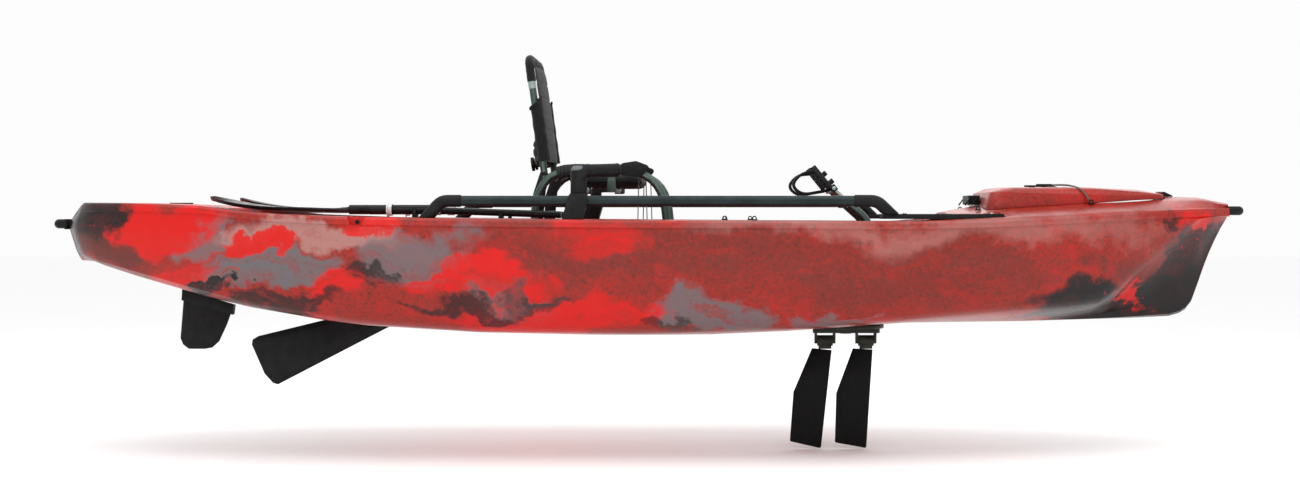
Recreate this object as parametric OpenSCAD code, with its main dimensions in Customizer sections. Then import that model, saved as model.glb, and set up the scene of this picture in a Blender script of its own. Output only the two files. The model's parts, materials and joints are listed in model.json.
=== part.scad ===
// Sit-on pedal kayak. +X is the bow, +Y is port, +Z is up.
// The origin lies on the centreline at half the hull's length, at the lowest line of the keel.

/* [Hull] */
// Length of the hull without its end handles
hull_len = 3640; // [3000:10:4400]
// Greatest width of the hull
beam = 914; // [760:2:1100]
// Wall of the moulded hull
wall = 5; // [4:0.5:7]
// Height of the gunwale amidships above the keel
gunwale_h = 358; // [330:1:400]
// Height of the cockpit floor above the keel
floor_h = 135; // [110:1:170]
// Height of the rear cargo well's floor above the keel
cargo_floor_h = 302; // [296:1:320]
// Half width of the rear cargo well
cargo_half_w = 316; // [250:1:320]
// Half width of the cockpit opening
cockpit_half_w = 322; // [300:1:330]

/* [Side rails] */
// Width of the twelve-sided rail tube
rail_d = 31; // [26:0.5:37]
// Height of the rail's centre above the gunwale
rail_lift = 57; // [48:1:80]
// Distance of the rail's centre inboard of the greatest half beam
rail_inset = 47; // [40:1:56]
// Diameter of the moulded rail ends
rail_end_d = 37; // [34:0.5:42]

/* [Bow hatch] */
// Length of the hatch lid
lid_len = 574; // [520:1:600]
// Width of the lid at its aft end
lid_w = 480; // [400:2:500]
// Height of the lid above its seat
lid_h = 66; // [50:1:80]

/* [Seat] */
// Distance between the centres of the two side frames
seat_w = 470; // [392:2:564]
// Diameter of the frame tube
seat_tube_d = 25; // [20:0.5:28]
// Height of the arm tube above the keel
arm_h = 509; // [490:1:530]
// Length of the backrest tubes above the hinge
back_len = 366; // [300:2:400]
// Backward lean of the backrest at rest
back_lean = 7.8; // [4:0.2:12]

/* [Pedal drive] */
// Radius of the round well that the drive stands in
well_r = 125; // [122:0.5:135]
// Distance from each swinging crank's pivot to the keel line
crank_pivot_h = 207; // [200:1:225]
// Distance between the centre planes of the two cranks
crank_track = 196; // [190:2:220]
// Diameter of the crank tube
crank_d = 27; // [24:0.5:30]
// Length of each fin from its hub
fin_len = 308; // [250:1:360]
// Distance between the swing hubs of the two fins
hub_gap = 129; // [124:1:136]

/* [Steering, rudder and skeg] */
// Diameter of the steering post
post_d = 49; // [41:0.5:59]
// Length of the steering grip from the post's centre
grip_len = 123; // [100:1:135]
// Depth of the rudder blade below its head
rudder_depth = 178; // [150:1:210]
// Length of the skeg from its pin to its far corner
skeg_len = 447; // [400:1:460]
// Thickness of the skeg
skeg_t = 16; // [12:0.5:18]

/* [Paddle] */
// Diameter of the paddle shaft
shaft_d = 29; // [24:0.5:35]
// Length of one paddle blade
blade_len = 421; // [380:1:460]
// Width of one paddle blade
blade_w = 168; // [140:2:180]

/* [Hidden] */

fit = 0.4;          // running clearance between moving pieces
touch = 0.3;        // gap between a soft piece and what it lies on
half_len = hull_len / 2;
half_beam = beam / 2;
STARBOARD = -1;
PORT = 1;

black = [0.07, 0.07, 0.07];
graphite = [0.16, 0.16, 0.16];
tube_green = [0.26, 0.36, 0.33];
rail_teal = [0.05, 0.13, 0.14];
hull_red = [0.66, 0.15, 0.11];

// ---------------------------------------------------------------- hull lines
// Each table gives a value at stations from the stern (-1) to the bow (1).
plan_line = [[-1, 0.06], [-0.99, 0.16], [-0.975, 0.34], [-0.96, 0.49], [-0.935, 0.585], [-0.88, 0.67], [-0.72, 0.81],
    [-0.5, 0.945], [-0.25, 0.99], [0, 1], [0.25, 0.985], [0.42, 0.945], [0.6, 0.83],
    [0.76, 0.63], [0.88, 0.42], [0.95, 0.25], [0.985, 0.145], [1, 0.09]];
keel_line = [[-1, 231], [-0.95, 224], [-0.9, 197],
    [-0.69, 90], [-0.5, 32], [-0.28, 8], [-0.1, 0], [0.1, 0], [0.25, 13], [0.42, 36],
    [0.65, 40], [0.83, 49], [0.905, 56], [0.926, 70], [0.94, 100], [0.952, 170],
    [0.966, 240], [0.982, 305], [1, 366]];
chine_line = [[-1, 262], [-0.96, 250], [-0.9, 218], [-0.69, 112], [-0.5, 54], [-0.28, 28],
    [0, 22], [0.25, 36], [0.42, 58], [0.52, 76], [0.7, 98], [0.77, 112], [0.82, 190],
    [0.885, 290], [0.95, 366], [1, 386]];
chine_share = [[-1, 0.9], [-0.9, 0.82], [-0.5, 0.78], [0.3, 0.78], [0.6, 0.76],
    [0.77, 0.8], [0.88, 0.86], [1, 0.9]];
rim_rise = [[-1, 52], [-0.82, 50], [-0.725, 43], [-0.67, 30], [-0.61, 19], [-0.49, 10],
    [-0.22, 3], [0, 0], [0.3, -2], [0.41, -4], [0.55, 0], [0.71, 14], [0.87, 30], [1, 38]];
crown_line = [[-1, 3], [-0.9, 3], [-0.5, 0], [0.44, 0], [0.52, 32], [0.6, 52], [0.72, 52],
    [0.88, 44], [0.95, 36], [1, 14]];
entry_line = [[0.45, 1], [0.62, 0.72], [0.76, 0.3], [0.86, 0.22], [1, 0.5]];

function eased(u, t, w = 0.009) =
    (lookup(u - w, t) + 2 * lookup(u, t) + lookup(u + w, t)) / 4;
function at(x) = x / half_len;
function side_y(x) = half_beam * eased(at(x), plan_line);
function keel_z(x) = eased(at(x), keel_line, 0.004);
function chine_z(x) = max(keel_z(x) + 4, eased(at(x), chine_line));
function rim_z(x) = gunwale_h + eased(at(x), rim_rise);
function crown(x) = eased(at(x), crown_line);
function deck_z(x, y) = rim_z(x) + crown(x) * (1 - pow(abs(y) / side_y(x), 2));

seam_drop = 27;     // moulded ledge below the rim
seam_out = 5;
rim_in = 16;

// Half of one hull section, from the keel up the side to the deck's centreline.
// inset shrinks the section by a wall thickness.
function half_section(x, inset = 0) =
    let (solid = inset > 0 ? max(0, at(x) - 0.5) : 0,   // the bow's entry grows solid forward
         b = side_y(x) - inset, k = keel_z(x) + inset + 70 * solid,
         c = max(chine_z(x) + inset * 0.7 + 50 * solid, k + 6),
         r = rim_z(x) - inset, e = eased(at(x), entry_line) * (1 - solid * 1.6),
         bc = b * eased(at(x), chine_share), rise = c - k, side = r - seam_drop - c)
    [
        [0, k],
        [bc * 0.16 * (0.6 + 0.4 * e), k + rise * 0.03],
        [bc * 0.42 * e, k + rise * 0.20],
        [bc * (0.2 + 0.5 * e), k + rise * 0.50],
        [bc * 0.93, c - rise * 0.06],
        for (t = [0.06, 0.16, 0.3, 0.46, 0.64, 0.82])
            [bc + (b - bc) * (1 - pow(1 - t, 2.3)), c + side * t],
        [b - seam_out, r - seam_drop + inset],
        [b, r - seam_drop + 5 + inset * 1.2],
        [b - 2, r - 7],
        [b - rim_in * 0.5, r],
        [b - rim_in * 1.4, r + crown(x) * 0.12],
        [b * 0.6, r + crown(x) * 0.64],
        [b * 0.28, r + crown(x) * 0.92]
    ];

// The stern slopes forward above and below a ridge that runs round it
ridge_z = 344;
function raked(x, z) =
    x + min(1, max(0, -0.9 - at(x)) / 0.09) * (z > ridge_z ? (z - ridge_z) * 0.66 : (ridge_z - z) * 0.3);

function full_section(x, inset) =
    let (h = half_section(x, inset), n = len(h), top = rim_z(x) - inset + crown(x))
    [
        for (i = [0:n - 1]) [raked(x, h[i][1]), -h[i][0], h[i][1]],
        [raked(x, top), 0, top],
        for (i = [n - 1:-1:1]) [raked(x, h[i][1]), h[i][0], h[i][1]]
    ];

module lofted(stations, inset) {
    rings = [for (x = stations) full_section(x, inset)];
    n = len(rings[0]);
    last = len(rings) - 1;
    polyhedron(
        points = [for (ring = rings) for (p = ring) p],
        faces = concat(
            [[for (i = [n - 1:-1:0]) i]],
            [for (s = [0:last - 1]) for (i = [0:n - 1])
                let (j = (i + 1) % n, a = s * n, b = a + n) [a + i, a + j, b + j]],
            [for (s = [0:last - 1]) for (i = [0:n - 1])
                let (j = (i + 1) % n, a = s * n, b = a + n) [a + i, b + j, b + i]],
            [[for (i = [0:n - 1]) last * n + i]]),
        convexity = 8);
}

function spread(a, b, n) = [for (i = [0:n]) a + (b - a) * i / n];
hull_stations = concat(spread(-half_len, -half_len * 0.95, 6), spread(-half_len * 0.92, half_len * 0.43, 21),
    spread(half_len * 0.46, half_len * 0.7, 8), spread(half_len * 0.73, half_len * 0.9, 6),
    spread(half_len * 0.918, half_len, 8));
cavity_stations = spread(-half_len * 0.965, half_len * 0.88, 32);

// ---------------------------------------------------------------- layout along the hull
cockpit_aft = -560;
cockpit_front = min(930, half_len - 890);
cargo_aft = -half_len + 545;
cargo_front = cockpit_aft - 70;
drive_x = 619;
lid_front_x = half_len - 212;
lid_aft_x = lid_front_x - lid_len;
lid_tip_w = 205;
lid_seat_gap = 2;
rudder_x = -half_len + 450;
skeg_pin_x = -half_len + 1034;
skeg_pin_z = 70;
skeg_slot = skeg_t + 10;
skeg_roof_z = cargo_floor_h - wall - 4;
stern_hatch_x = -half_len + 345;
stern_hatch_r = 44;
notch_x = -846;
notch_w = 58;

seat_x = -135;
rail_y = half_beam - rail_inset;
rail_z = gunwale_h + rail_lift;
rail_aft = -540;
rail_front = 620;
console_h = 178;
console_half = 165;

// A rounded box that stands from z0 to z1, grown by g on every side but the top
module tub(x0, x1, half_w, z0, z1, r, lean = 18, g = 0) {
    hull() {
        for (x = [x0 - g + r + lean, x1 + g - r - lean], s = [-1, 1])
            translate([x, s * (half_w + g - r - lean), z0 - g])
                cylinder(r = r, h = 1, $fn = 20);
        for (x = [x0 - g + r, x1 + g - r], s = [-1, 1])
            translate([x, s * (half_w + g - r), z1])
                cylinder(r = r, h = 1, $fn = 20);
    }
}

// Every recess of the deck and bottom, grown by g to make its wall
module recesses(g = 0) {
    up = 520;
    difference() {
        tub(cockpit_aft, cockpit_front, cockpit_half_w, floor_h, up, 70, 26, g);
        // raised console that carries the drive well
        translate([0, 0, console_h - g - 300])
            hull()
                for (x = [drive_x - well_r - 30 + g, cockpit_front + 80], s = [-1, 1])
                    translate([x + 40, s * (console_half - 40 - g), 0])
                        cylinder(r = 40, h = 300, $fn = 20);
    }
    tub(cargo_aft, cargo_front, cargo_half_w, cargo_floor_h, up, 75, 12, g);
    // flat beds for the mounting boards
    for (s = [-1, 1]) on_board(s)
        translate([-3 - g, -board_w / 2 - 3 - g, -touch - g])
            cube([board_len + 6 + 2 * g, board_w + 6 + 2 * g, 90]);
    // skeg pocket
    hull()
        for (x = [skeg_pin_x - skeg_len - 34, skeg_pin_x + 60])
            translate([x, 0, -60])
                cylinder(d = skeg_slot + 2 * g, h = skeg_roof_z + 60 + g, $fn = 16);
    // drive well
    translate([drive_x, 0, -60])
        cylinder(r = well_r + g, h = 60 + console_h + 20, $fn = 48);
    // shallow dishes for the stern hatch and the tiller disc
    translate([stern_hatch_x, 0, stern_deck_z - stern_dish - g])
        cylinder(r = stern_hatch_r + 10 + g, h = 100, $fn = 48);
    translate([rudder_x, 0, rudder_tube_top - g])
        cylinder(r = tiller_r + 5 + g, h = 100, $fn = 48);
    for (s = [-1, 1]) side_notch(s, g);
    // rudder stock
    translate([rudder_x, 0, -20])
        cylinder(r = rudder_tube_r + (g > 0 ? g : -0.2), h = up, $fn = 24);
}

// Hand notch in each gunwale
module side_notch(s, g = 0) {
    translate([notch_x, s * side_y(notch_x), rim_z(notch_x) - seam_drop + 4])
        hull() {
            translate([-notch_w * 0.3 - g, -26 - g, -g]) cube([notch_w * 0.6 + 2 * g, 52 + 2 * g, 4]);
            translate([-notch_w / 2 - g, -26 - g, seam_drop]) cube([notch_w + 2 * g, 52 + 2 * g, 4]);
        }
}

function lid_seat_z(x) = deck_z(x, lid_half(x)) + 2;
function lid_half(x) =
    lid_tip_w / 2 + (lid_w - lid_tip_w) / 2 * min(1, (lid_front_x - x) / lid_len);

module hull_shell() {
    color(hull_red)
    difference() {
        lofted(hull_stations, 0);
        difference() {
            lofted(cavity_stations, wall);
            recesses(wall);
            hull() lid_slab(9, -20, 120, 48);   // solid ring that the hatch lid sits on
        }
        hull() lid_slab(4, -2, 120, 46);        // its flat face
        hull() lid_slab(-48, -120, 200, 40);    // opening under the hatch lid
        recesses();
        translate([stern_hatch_x, 0, 320]) cylinder(r = stern_hatch_r - 10, h = 200, $fn = 36);
    }
}

// ---------------------------------------------------------------- shared shapes
// Corner points of a path become short curves that start a set distance before each corner
function mix(a, b, t) = a + (b - a) * t;
function rounded(path, setback, n = 5) =
    let (last = len(path) - 1)
    [
        path[0],
        for (i = [1:last - 1])
            let (p = path[i], back = path[i - 1] - p, on = path[i + 1] - p,
                 a = p + back / norm(back) * min(setback, norm(back) * 0.48),
                 b = p + on / norm(on) * min(setback, norm(on) * 0.48))
            for (t = [0:n]) mix(mix(a, p, t / n), mix(p, b, t / n), t / n),
        path[last]
    ];

// A round bar of radius r along a path of [x, z] points, in the plane y = 0
module planar_bar(path, r, sides = 12) {
    n = len(path);
    function along(i) = let (d = path[min(i + 1, n - 1)] - path[max(i - 1, 0)]) d / norm(d);
    rings = [for (i = [0:n - 1])
        let (d = along(i), side = [-d[1], d[0]])
        [for (k = [0:sides - 1])
            let (a = (k + 0.5) * 360 / sides)
            [path[i][0] + side[0] * r * cos(a), r * sin(a), path[i][1] + side[1] * r * cos(a)]]];
    polyhedron(
        points = [for (ring = rings) for (p = ring) p],
        faces = concat(
            [[for (k = [sides - 1:-1:0]) k]],
            [for (i = [0:n - 2]) for (k = [0:sides - 1])
                let (j = (k + 1) % sides, a = i * sides, b = a + sides) [a + k, a + j, b + j, b + k]],
            [[for (k = [0:sides - 1]) (n - 1) * sides + k]]),
        convexity = 6);
}

// A flat plate of thickness t, centred on y = 0, from an outline of [x, z] points
module upright_plate(outline, t) {
    rotate([90, 0, 0])
        translate([0, 0, -t / 2])
            linear_extrude(t) polygon(outline);
}

module pin_y(x, z, r, y0, y1) {
    translate([x, y0, z]) rotate([-90, 0, 0]) cylinder(r = r, h = y1 - y0, $fn = 32);
}

// The outline of a strap of thickness t whose middle follows a path
function band(path, t) =
    let (n = len(path),
         sides = [for (i = [0:n - 1])
             let (d = path[min(i + 1, n - 1)] - path[max(i - 1, 0)]) [-d[1], d[0]] / norm(d) * t / 2])
    concat([for (i = [0:n - 1]) path[i] + sides[i]], [for (i = [n - 1:-1:0]) path[i] - sides[i]]);

// ---------------------------------------------------------------- deck
module deck_mats() {
    color(graphite)
    for (s = [-1, 1])
        translate([0, s * 225, floor_h + touch])
            linear_extrude(4)
                polygon([[-470, -70], [-470, 45], [480, 45], [820, 20], [820, -30], [480, -40],
                    [430, -70]] * [[1, 0], [0, s]]);
}

ring_t = 5;
module drive_well_ring() {
    color(graphite)
    translate([drive_x, 0, console_h])
        difference() {
            union() {
                cylinder(r = well_r + 16, h = ring_t, $fn = 64);
                translate([0, 0, -6]) cylinder(r = well_r - touch, h = 7, $fn = 64);
            }
            translate([0, 0, -7]) cylinder(r = well_r - 2.7, h = ring_t + 9, $fn = 64);
        }
}

// ---------------------------------------------------------------- rails and boards
module rails() {
    color(rail_teal)
    for (s = [-1, 1])
        translate([rail_aft, s * rail_y, rail_z])
            rotate([0, 90, 0]) rotate(15) cylinder(d = rail_d / cos(15), h = rail_front - rail_aft, $fn = 12);
}

board_aft = 703;
board_len = 368;
board_t = 15;
board_w = 74;
board_edge = 10;
board_fore = board_aft + board_len;
function board_y(x) = side_y(x) - rim_in - board_edge - board_w / 2;
board_yaw = atan((board_y(board_aft + 20) - board_y(board_fore)) / (board_len - 20));
board_z = max([for (x = spread(board_aft, board_fore, 8)) rim_z(x)]) + touch;
board_holes = 4;
board_pcd = 56;
board_hole_r = 3;
board_hole_x = 232;

module on_board(s) {
    translate([board_aft, s * board_y(board_aft + 20), board_z])
        rotate([0, 0, -s * board_yaw]) children();
}

module board_hole_places() {
    for (i = [0:board_holes - 1])
        translate([board_hole_x, 0, 0])
            rotate(45 + i * 360 / board_holes)
                translate([board_pcd / 2, 0, 0]) children();
}

module mounting_boards() {
    color(black)
    for (s = [-1, 1]) on_board(s)
        difference() {
            union() {
                linear_extrude(board_t)
                    polygon([[4, -board_w / 2], [0, -board_w / 2 + 8], [0, board_w / 2 - 8],
                        [4, board_w / 2], [board_len - 60, board_w / 2], [board_len, board_w * 0.26],
                        [board_len, -board_w / 2 + 8], [board_len - 6, -board_w / 2]]
                        * [[1, 0], [0, -s]]);
            }
            translate([0, 0, -1]) board_hole_places() cylinder(r = board_hole_r, h = board_t + 2, $fn = 32);
            for (x = [70, 338])
                translate([x, 0, -1]) cylinder(r = 3.2, h = board_t + 2, $fn = 32);
        }
}

module board_screws() {
    color([0.55, 0.55, 0.56])
    for (s = [-1, 1]) on_board(s)
        for (x = [70, 338])
            translate([x, 0, board_t]) {
                cylinder(r = 6, h = 3, $fn = 32);
                translate([0, 0, -board_t + 1]) cylinder(r = 2.9, h = board_t, $fn = 32);
            }
}

module rail_end(x_rail, x_bend, x_foot, z_foot) {
    dir = sign(x_bend - x_rail);
    difference() {
        planar_bar(rounded([[x_rail, rail_z], [x_bend, rail_z],
            [x_foot + dir * 12, z_foot - 16]], 18, 4), rail_end_d / 2, 14);
        translate([x_foot - 90, -50, z_foot - 60]) cube([180, 100, 60]);
    }
}

module rail_ends() {
    color(black)
    for (s = [-1, 1]) translate([0, s * rail_y, 0]) {
        rail_end(rail_aft, rail_aft - 58, rail_aft - 105, rim_z(rail_aft - 105) + touch);
        rail_end(rail_front, rail_front + 67, rail_front + 111, board_z + board_t);
    }
}

// ---------------------------------------------------------------- steering posts
post_x = -193;
base_top_z = rail_z + 22;
base_foot_z = rim_z(post_x - 48) + touch + 0.4;
post_len = 60;
module steering_base(s) {
    color(black)
    translate([0, s * rail_y, 0])
        difference() {
            union() {
                upright_plate([[post_x - 48, base_foot_z], [post_x + 10, base_foot_z],
                    [post_x + 27, base_top_z - 22], [post_x + 24, base_top_z], [post_x - 24, base_top_z],
                    [post_x - 30, base_top_z - 10]], 62);
            }
            translate([post_x - 90, 0, rail_z]) rotate([0, 90, 0]) rotate(15)
                cylinder(d = (rail_d + 0.4) / cos(15), h = 180, $fn = 12);
            translate([post_x, 0, base_top_z - 4 - fit]) cylinder(r = spigot_r + fit, h = 30, $fn = 32);
        }
}
module steering_base_right() { steering_base(STARBOARD); }
module steering_base_left() { steering_base(PORT); }

grip_z = base_top_z + post_len + 8;
spigot_r = 14;
module steering_grip() {
    color(black)
    translate([post_x, -rail_y, 0]) difference() {
        grip_form();
        translate([0, 0, cap_z]) cap_form(0.1);
    }
}
module grip_form() {
        translate([0, 0, base_top_z - 4]) cylinder(r = spigot_r, h = 6, $fn = 32);
        translate([0, 0, base_top_z + fit]) cylinder(d = post_d, h = post_len - 16, $fn = 40);
        hull() {
            translate([0, 0, base_top_z + post_len - 16 + fit]) cylinder(d = post_d, h = 22, $fn = 32);
            translate([18, 0, grip_z]) rotate([0, 88, 0]) cylinder(d = 38, h = 12, $fn = 32);
        }
        translate([20, 0, grip_z]) rotate([0, 88, 0]) cylinder(d = 35, h = grip_len - 30, $fn = 32);
        for (i = [0:7])
            translate([34 + i * 6.2, 0, grip_z]) rotate([0, 88, 0]) cylinder(d = 37.5, h = 3, $fn = 32);
        hull() {
            translate([grip_len - 14, 0, grip_z + 3]) rotate([0, 88, 0]) cylinder(d = 37, h = 6, $fn = 32);
            translate([grip_len - 4, 0, grip_z + 4]) rotate([0, 88, 0]) cylinder(d = 28, h = 4, $fn = 32);
        }
}

cap_z = base_top_z + post_len + 6 + fit;
module cap_form(g) {
    hull() {
        translate([0, 0, -g]) cylinder(d = post_d - 4 + 2 * g, h = 8, $fn = 32);
        translate([0, 0, 8]) cylinder(d = post_d - 16 + 2 * g, h = 7 + g, $fn = 32);
    }
}
module steering_grip_cap() {
    color([0.42, 0.45, 0.47])
    translate([post_x, -rail_y, cap_z]) cap_form(0);
}

lever_len = 98;
module rudder_lever() {
    color(black)
    translate([post_x, rail_y, 0]) {
        translate([0, 0, base_top_z - 4]) cylinder(r = spigot_r, h = 6, $fn = 32);
        translate([0, 0, base_top_z + fit]) cylinder(d = 38, h = 26, $fn = 40);
        hull() {
            translate([0, 0, base_top_z + 12]) cylinder(d = 30, h = 13, $fn = 32);
            translate([lever_len - 16, 0, base_top_z + 15]) cylinder(d = 17, h = 9, $fn = 32);
        }
        hull() {
            translate([lever_len - 14, 0, base_top_z + 15]) cylinder(d = 16, h = 9, $fn = 32);
            translate([lever_len - 7, 0, base_top_z + 9]) cylinder(d = 12, h = 22, $fn = 32);
        }
    }
}

// ---------------------------------------------------------------- end handles
module end_handle(x_hull, x_tip, z, half_w, d) {
    translate([0, 0, z]) rotate([90, 0, 0])
        planar_bar(rounded([[x_hull, -half_w], [x_tip, -half_w], [x_tip, half_w], [x_hull, half_w]],
            half_w * 0.8, 6), d / 2, 12);
}
module bow_handle() { color(black) end_handle(half_len + touch, half_len + 38, 387, 26, 29); }
module stern_handle() {
    color(black) {
        end_handle(-half_len - 5, -half_len - 33, ridge_z + 2, 42, 30);
        translate([-half_len - 5.2, -60, ridge_z - 15]) cube([6.4, 120, 32]);
    }
}

// ---------------------------------------------------------------- bow hatch
hinge_x = lid_front_x + 9;
hinge_r = 7;
hinge_z = deck_z(hinge_x + 28, 0) + hinge_r + 1.5;
module hatch_lid() {
    color(hull_red)
    difference() {
        union() {
            hull() {
                lid_slab(0, lid_seat_gap, 14, 42);
                lid_top(-12, 0.82, 44);
                lid_top(-46, 1.0, 34);
            }
            pin_y(hinge_x, hinge_z, hinge_r, -16, 16);
            translate([hinge_x - 16, -16, hinge_z - 7]) cube([16, 32, 14]);
        }
        hull() {
            lid_slab(-wall, lid_seat_gap - 1, 14, 38);
            lid_top(-12 - wall, 0.82 - wall / lid_h, 40);
            lid_top(-46 - wall, 1.0 - wall / lid_h, 30);
        }
        pin_y(hinge_x, hinge_z, 3 + fit, -40, 40);
    }
}
module lid_slab(g, z, h, r) {
    lid_corners(g, r) translate([0, 0, lid_seat_z($at) + z]) cylinder(r = r, h = h, $fn = 24);
}
// share tells how much of the lid's height the ring reaches; it slopes down to the bow
module lid_top(g, share, r) {
    lid_corners(g, r) translate([0, 0, lid_rise($at, share)]) cylinder(r = r, h = 1, $fn = 24);
}
function lid_rise(x, share) =
    lid_seat_z(x) + lid_h * share * lookup((x - lid_aft_x) / lid_len, [[0, 0.96], [0.5, 0.72], [0.8, 0.5], [1, 0.24]]);
module lid_corners(g, r) {
    for (p = [[lid_aft_x - g + 0, lid_w / 2], [lid_aft_x + lid_len * 0.5, lid_half(lid_aft_x + lid_len * 0.5) + 8],
              [lid_aft_x + lid_len * 0.8, lid_half(lid_aft_x + lid_len * 0.8) + 6], [lid_front_x + g, lid_tip_w / 2]],
         s = [-1, 1]) {
        $at = p[0];
        end_in = p[0] < lid_aft_x + 60 ? r : (p[0] > lid_front_x - 60 ? -r : 0);
        translate([p[0] + end_in, s * (p[1] + g - r), 0]) children();
    }
}

module hatch_hinge() {
    color(black) {
        for (s = [-1, 1]) hull() {
            pin_y(hinge_x, hinge_z, hinge_r, s > 0 ? 16.5 : -30, s > 0 ? 30 : -16.5);
            translate([hinge_x - 6, s > 0 ? 16.5 : -30, deck_z(hinge_x + 28, 16) + touch]) cube([34, 13.5, 3]);
        }
        pin_y(hinge_x, hinge_z, 3, -17, 17);
    }
}

// Latch block on the lid's aft end, with the cords' two pegs on each side
latch_len = 36;
latch_half = 74;
latch_z = deck_z(lid_aft_x, 0) + 3;
module hatch_latch() {
    color(graphite)
    translate([lid_aft_x - latch_len, 0, latch_z]) {
        translate([0, -latch_half, 0]) cube([latch_len - touch, 2 * latch_half, 28]);
        for (s = [-1, 1], x = [6, 27])
            pin_y(x, 22, 4.5, s > 0 ? latch_half - 1 : -latch_half - 9, s > 0 ? latch_half + 9 : -latch_half + 1);
    }
}

cleat_x = lid_aft_x + 192;
cleat_y = 122;
cleat_z = lid_rise(cleat_x, 1.0) + 1 + touch;
cord_end_x = cleat_x + 134;
cord_end_y = lid_half(cord_end_x) + 26;
module hatch_cleat() {
    color(black)
    for (s = [-1, 1]) translate([cleat_x, s * cleat_y, cleat_z]) {
        cylinder(d = 20, h = 5, $fn = 32);
        translate([0, 0, 4]) hull()
            for (x = [-20, 20]) translate([x, 0, 0]) cylinder(d = 9, h = 6, $fn = 24);
    }
}

// On each side a cord runs from the cleat over the lid's shoulder to an eyelet on the deck
bungee_d = 6;
module hatch_bungee() {
    color([0.36, 0.34, 0.34])
    for (s = [-1, 1])
        swept(rounded([
            [cleat_x + 24.8, s * cleat_y, cleat_z + 6.5],
            [cleat_x + 70, s * (cleat_y + 16), cleat_z + 7],
            [cleat_x + 106, s * (cleat_y + 50), cleat_z - 4],
            [cord_end_x - 5, s * (cord_end_y - 3), deck_z(cord_end_x, cord_end_y) + 13]], 22, 3),
            bungee_d / 2);
}

// A round bar along points in space
function unit(v) = v / norm(v);
module swept(path, r, sides = 8) {
    n = len(path);
    up = [0.12, 0.2, 1];
    function along(i) = unit(path[min(i + 1, n - 1)] - path[max(i - 1, 0)]);
    rings = [for (i = [0:n - 1])
        let (d = along(i), a = unit(cross(d, up)), b = cross(a, d))
        [for (k = [0:sides - 1])
            path[i] + a * r * cos((k + 0.5) * 360 / sides) + b * r * sin((k + 0.5) * 360 / sides)]];
    polyhedron(
        points = [for (ring = rings) for (p = ring) p],
        faces = concat(
            [[for (k = [sides - 1:-1:0]) k]],
            [for (i = [0:n - 2]) for (k = [0:sides - 1])
                let (j = (k + 1) % sides, a = i * sides, b = a + sides) [a + k, a + j, b + j, b + k]],
            [[for (k = [0:sides - 1]) (n - 1) * sides + k]]),
        convexity = 6);
}

// ---------------------------------------------------------------- small deck fittings
module eyelet(x, y) {
    translate([x, y, max([for (i = [-9, 9], j = [-6, 6]) deck_z(x + i, y + j)]) + touch]) {
        translate([-9, -6, 0]) cube([18, 12, 4]);
        translate([0, 2.5, 7]) rotate([90, 0, 0])
            difference() {
                cylinder(r = 7, h = 5, $fn = 32);
                translate([0, 0, -1]) cylinder(r = 3.6, h = 7, $fn = 32);
            }
    }
}
module deck_fittings() {
    color(black)
    for (s = [-1, 1]) {
        eyelet(238, s * (side_y(238) - 40));
        eyelet(325, s * (side_y(325) - 40));
        eyelet(lid_aft_x - 26, s * (lid_w / 2 - 10));
        eyelet(cord_end_x, s * (cord_end_y + 2));
        translate([notch_x, s * (side_y(notch_x) - 22), rim_z(notch_x) - 14])
            rotate([90, 0, 0]) cylinder(d = 12, h = 7.6, $fn = 24, center = true);
    }
}

// ---------------------------------------------------------------- stern hatch and rudder tube
stern_dish = 13;
stern_deck_z = deck_z(stern_hatch_x, 0);
stern_seat_z = stern_deck_z - stern_dish;
module stern_hatch_ring() {
    color(black)
    translate([stern_hatch_x, 0, stern_seat_z + touch])
        difference() {
            cylinder(r = stern_hatch_r + 7, h = 4, $fn = 64);
            translate([0, 0, -1]) cylinder(r = stern_hatch_r - 10, h = 6, $fn = 64);
        }
}
module stern_hatch_cover() {
    color(graphite)
    translate([stern_hatch_x, 0, stern_seat_z + 4 + touch + fit]) {
        difference() {
            union() {
                cylinder(r = stern_hatch_r, h = 6, $fn = 64);
                translate([-stern_hatch_r + 8, -6, 5]) cube([2 * stern_hatch_r - 16, 12, 6]);
            }
            for (s = [-1, 1]) translate([s * 20, 0, -1]) cylinder(r = 2, h = 4, $fn = 24);
        }
        translate([0, 0, -12]) cylinder(r = stern_hatch_r - 10.6, h = 12.5, $fn = 64);
    }
}

rudder_tube_r = 17;
stock_r = 12;
rudder_tube_top = deck_z(rudder_x, 0) - 16;
tiller_r = 34;
rudder_tube_foot = keel_z(rudder_x) + 4;
module rudder_tube() {
    color(black)
    translate([rudder_x, 0, rudder_tube_foot])
        difference() {
            union() {
                cylinder(r = rudder_tube_r - 0.4, h = rudder_tube_top - rudder_tube_foot, $fn = 40);
                translate([0, 0, rudder_tube_top - rudder_tube_foot]) cylinder(r = 28, h = 4, $fn = 40);
            }
            translate([0, 0, -1]) cylinder(r = stock_r + fit, h = 400, $fn = 40);
        }
}

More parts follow.
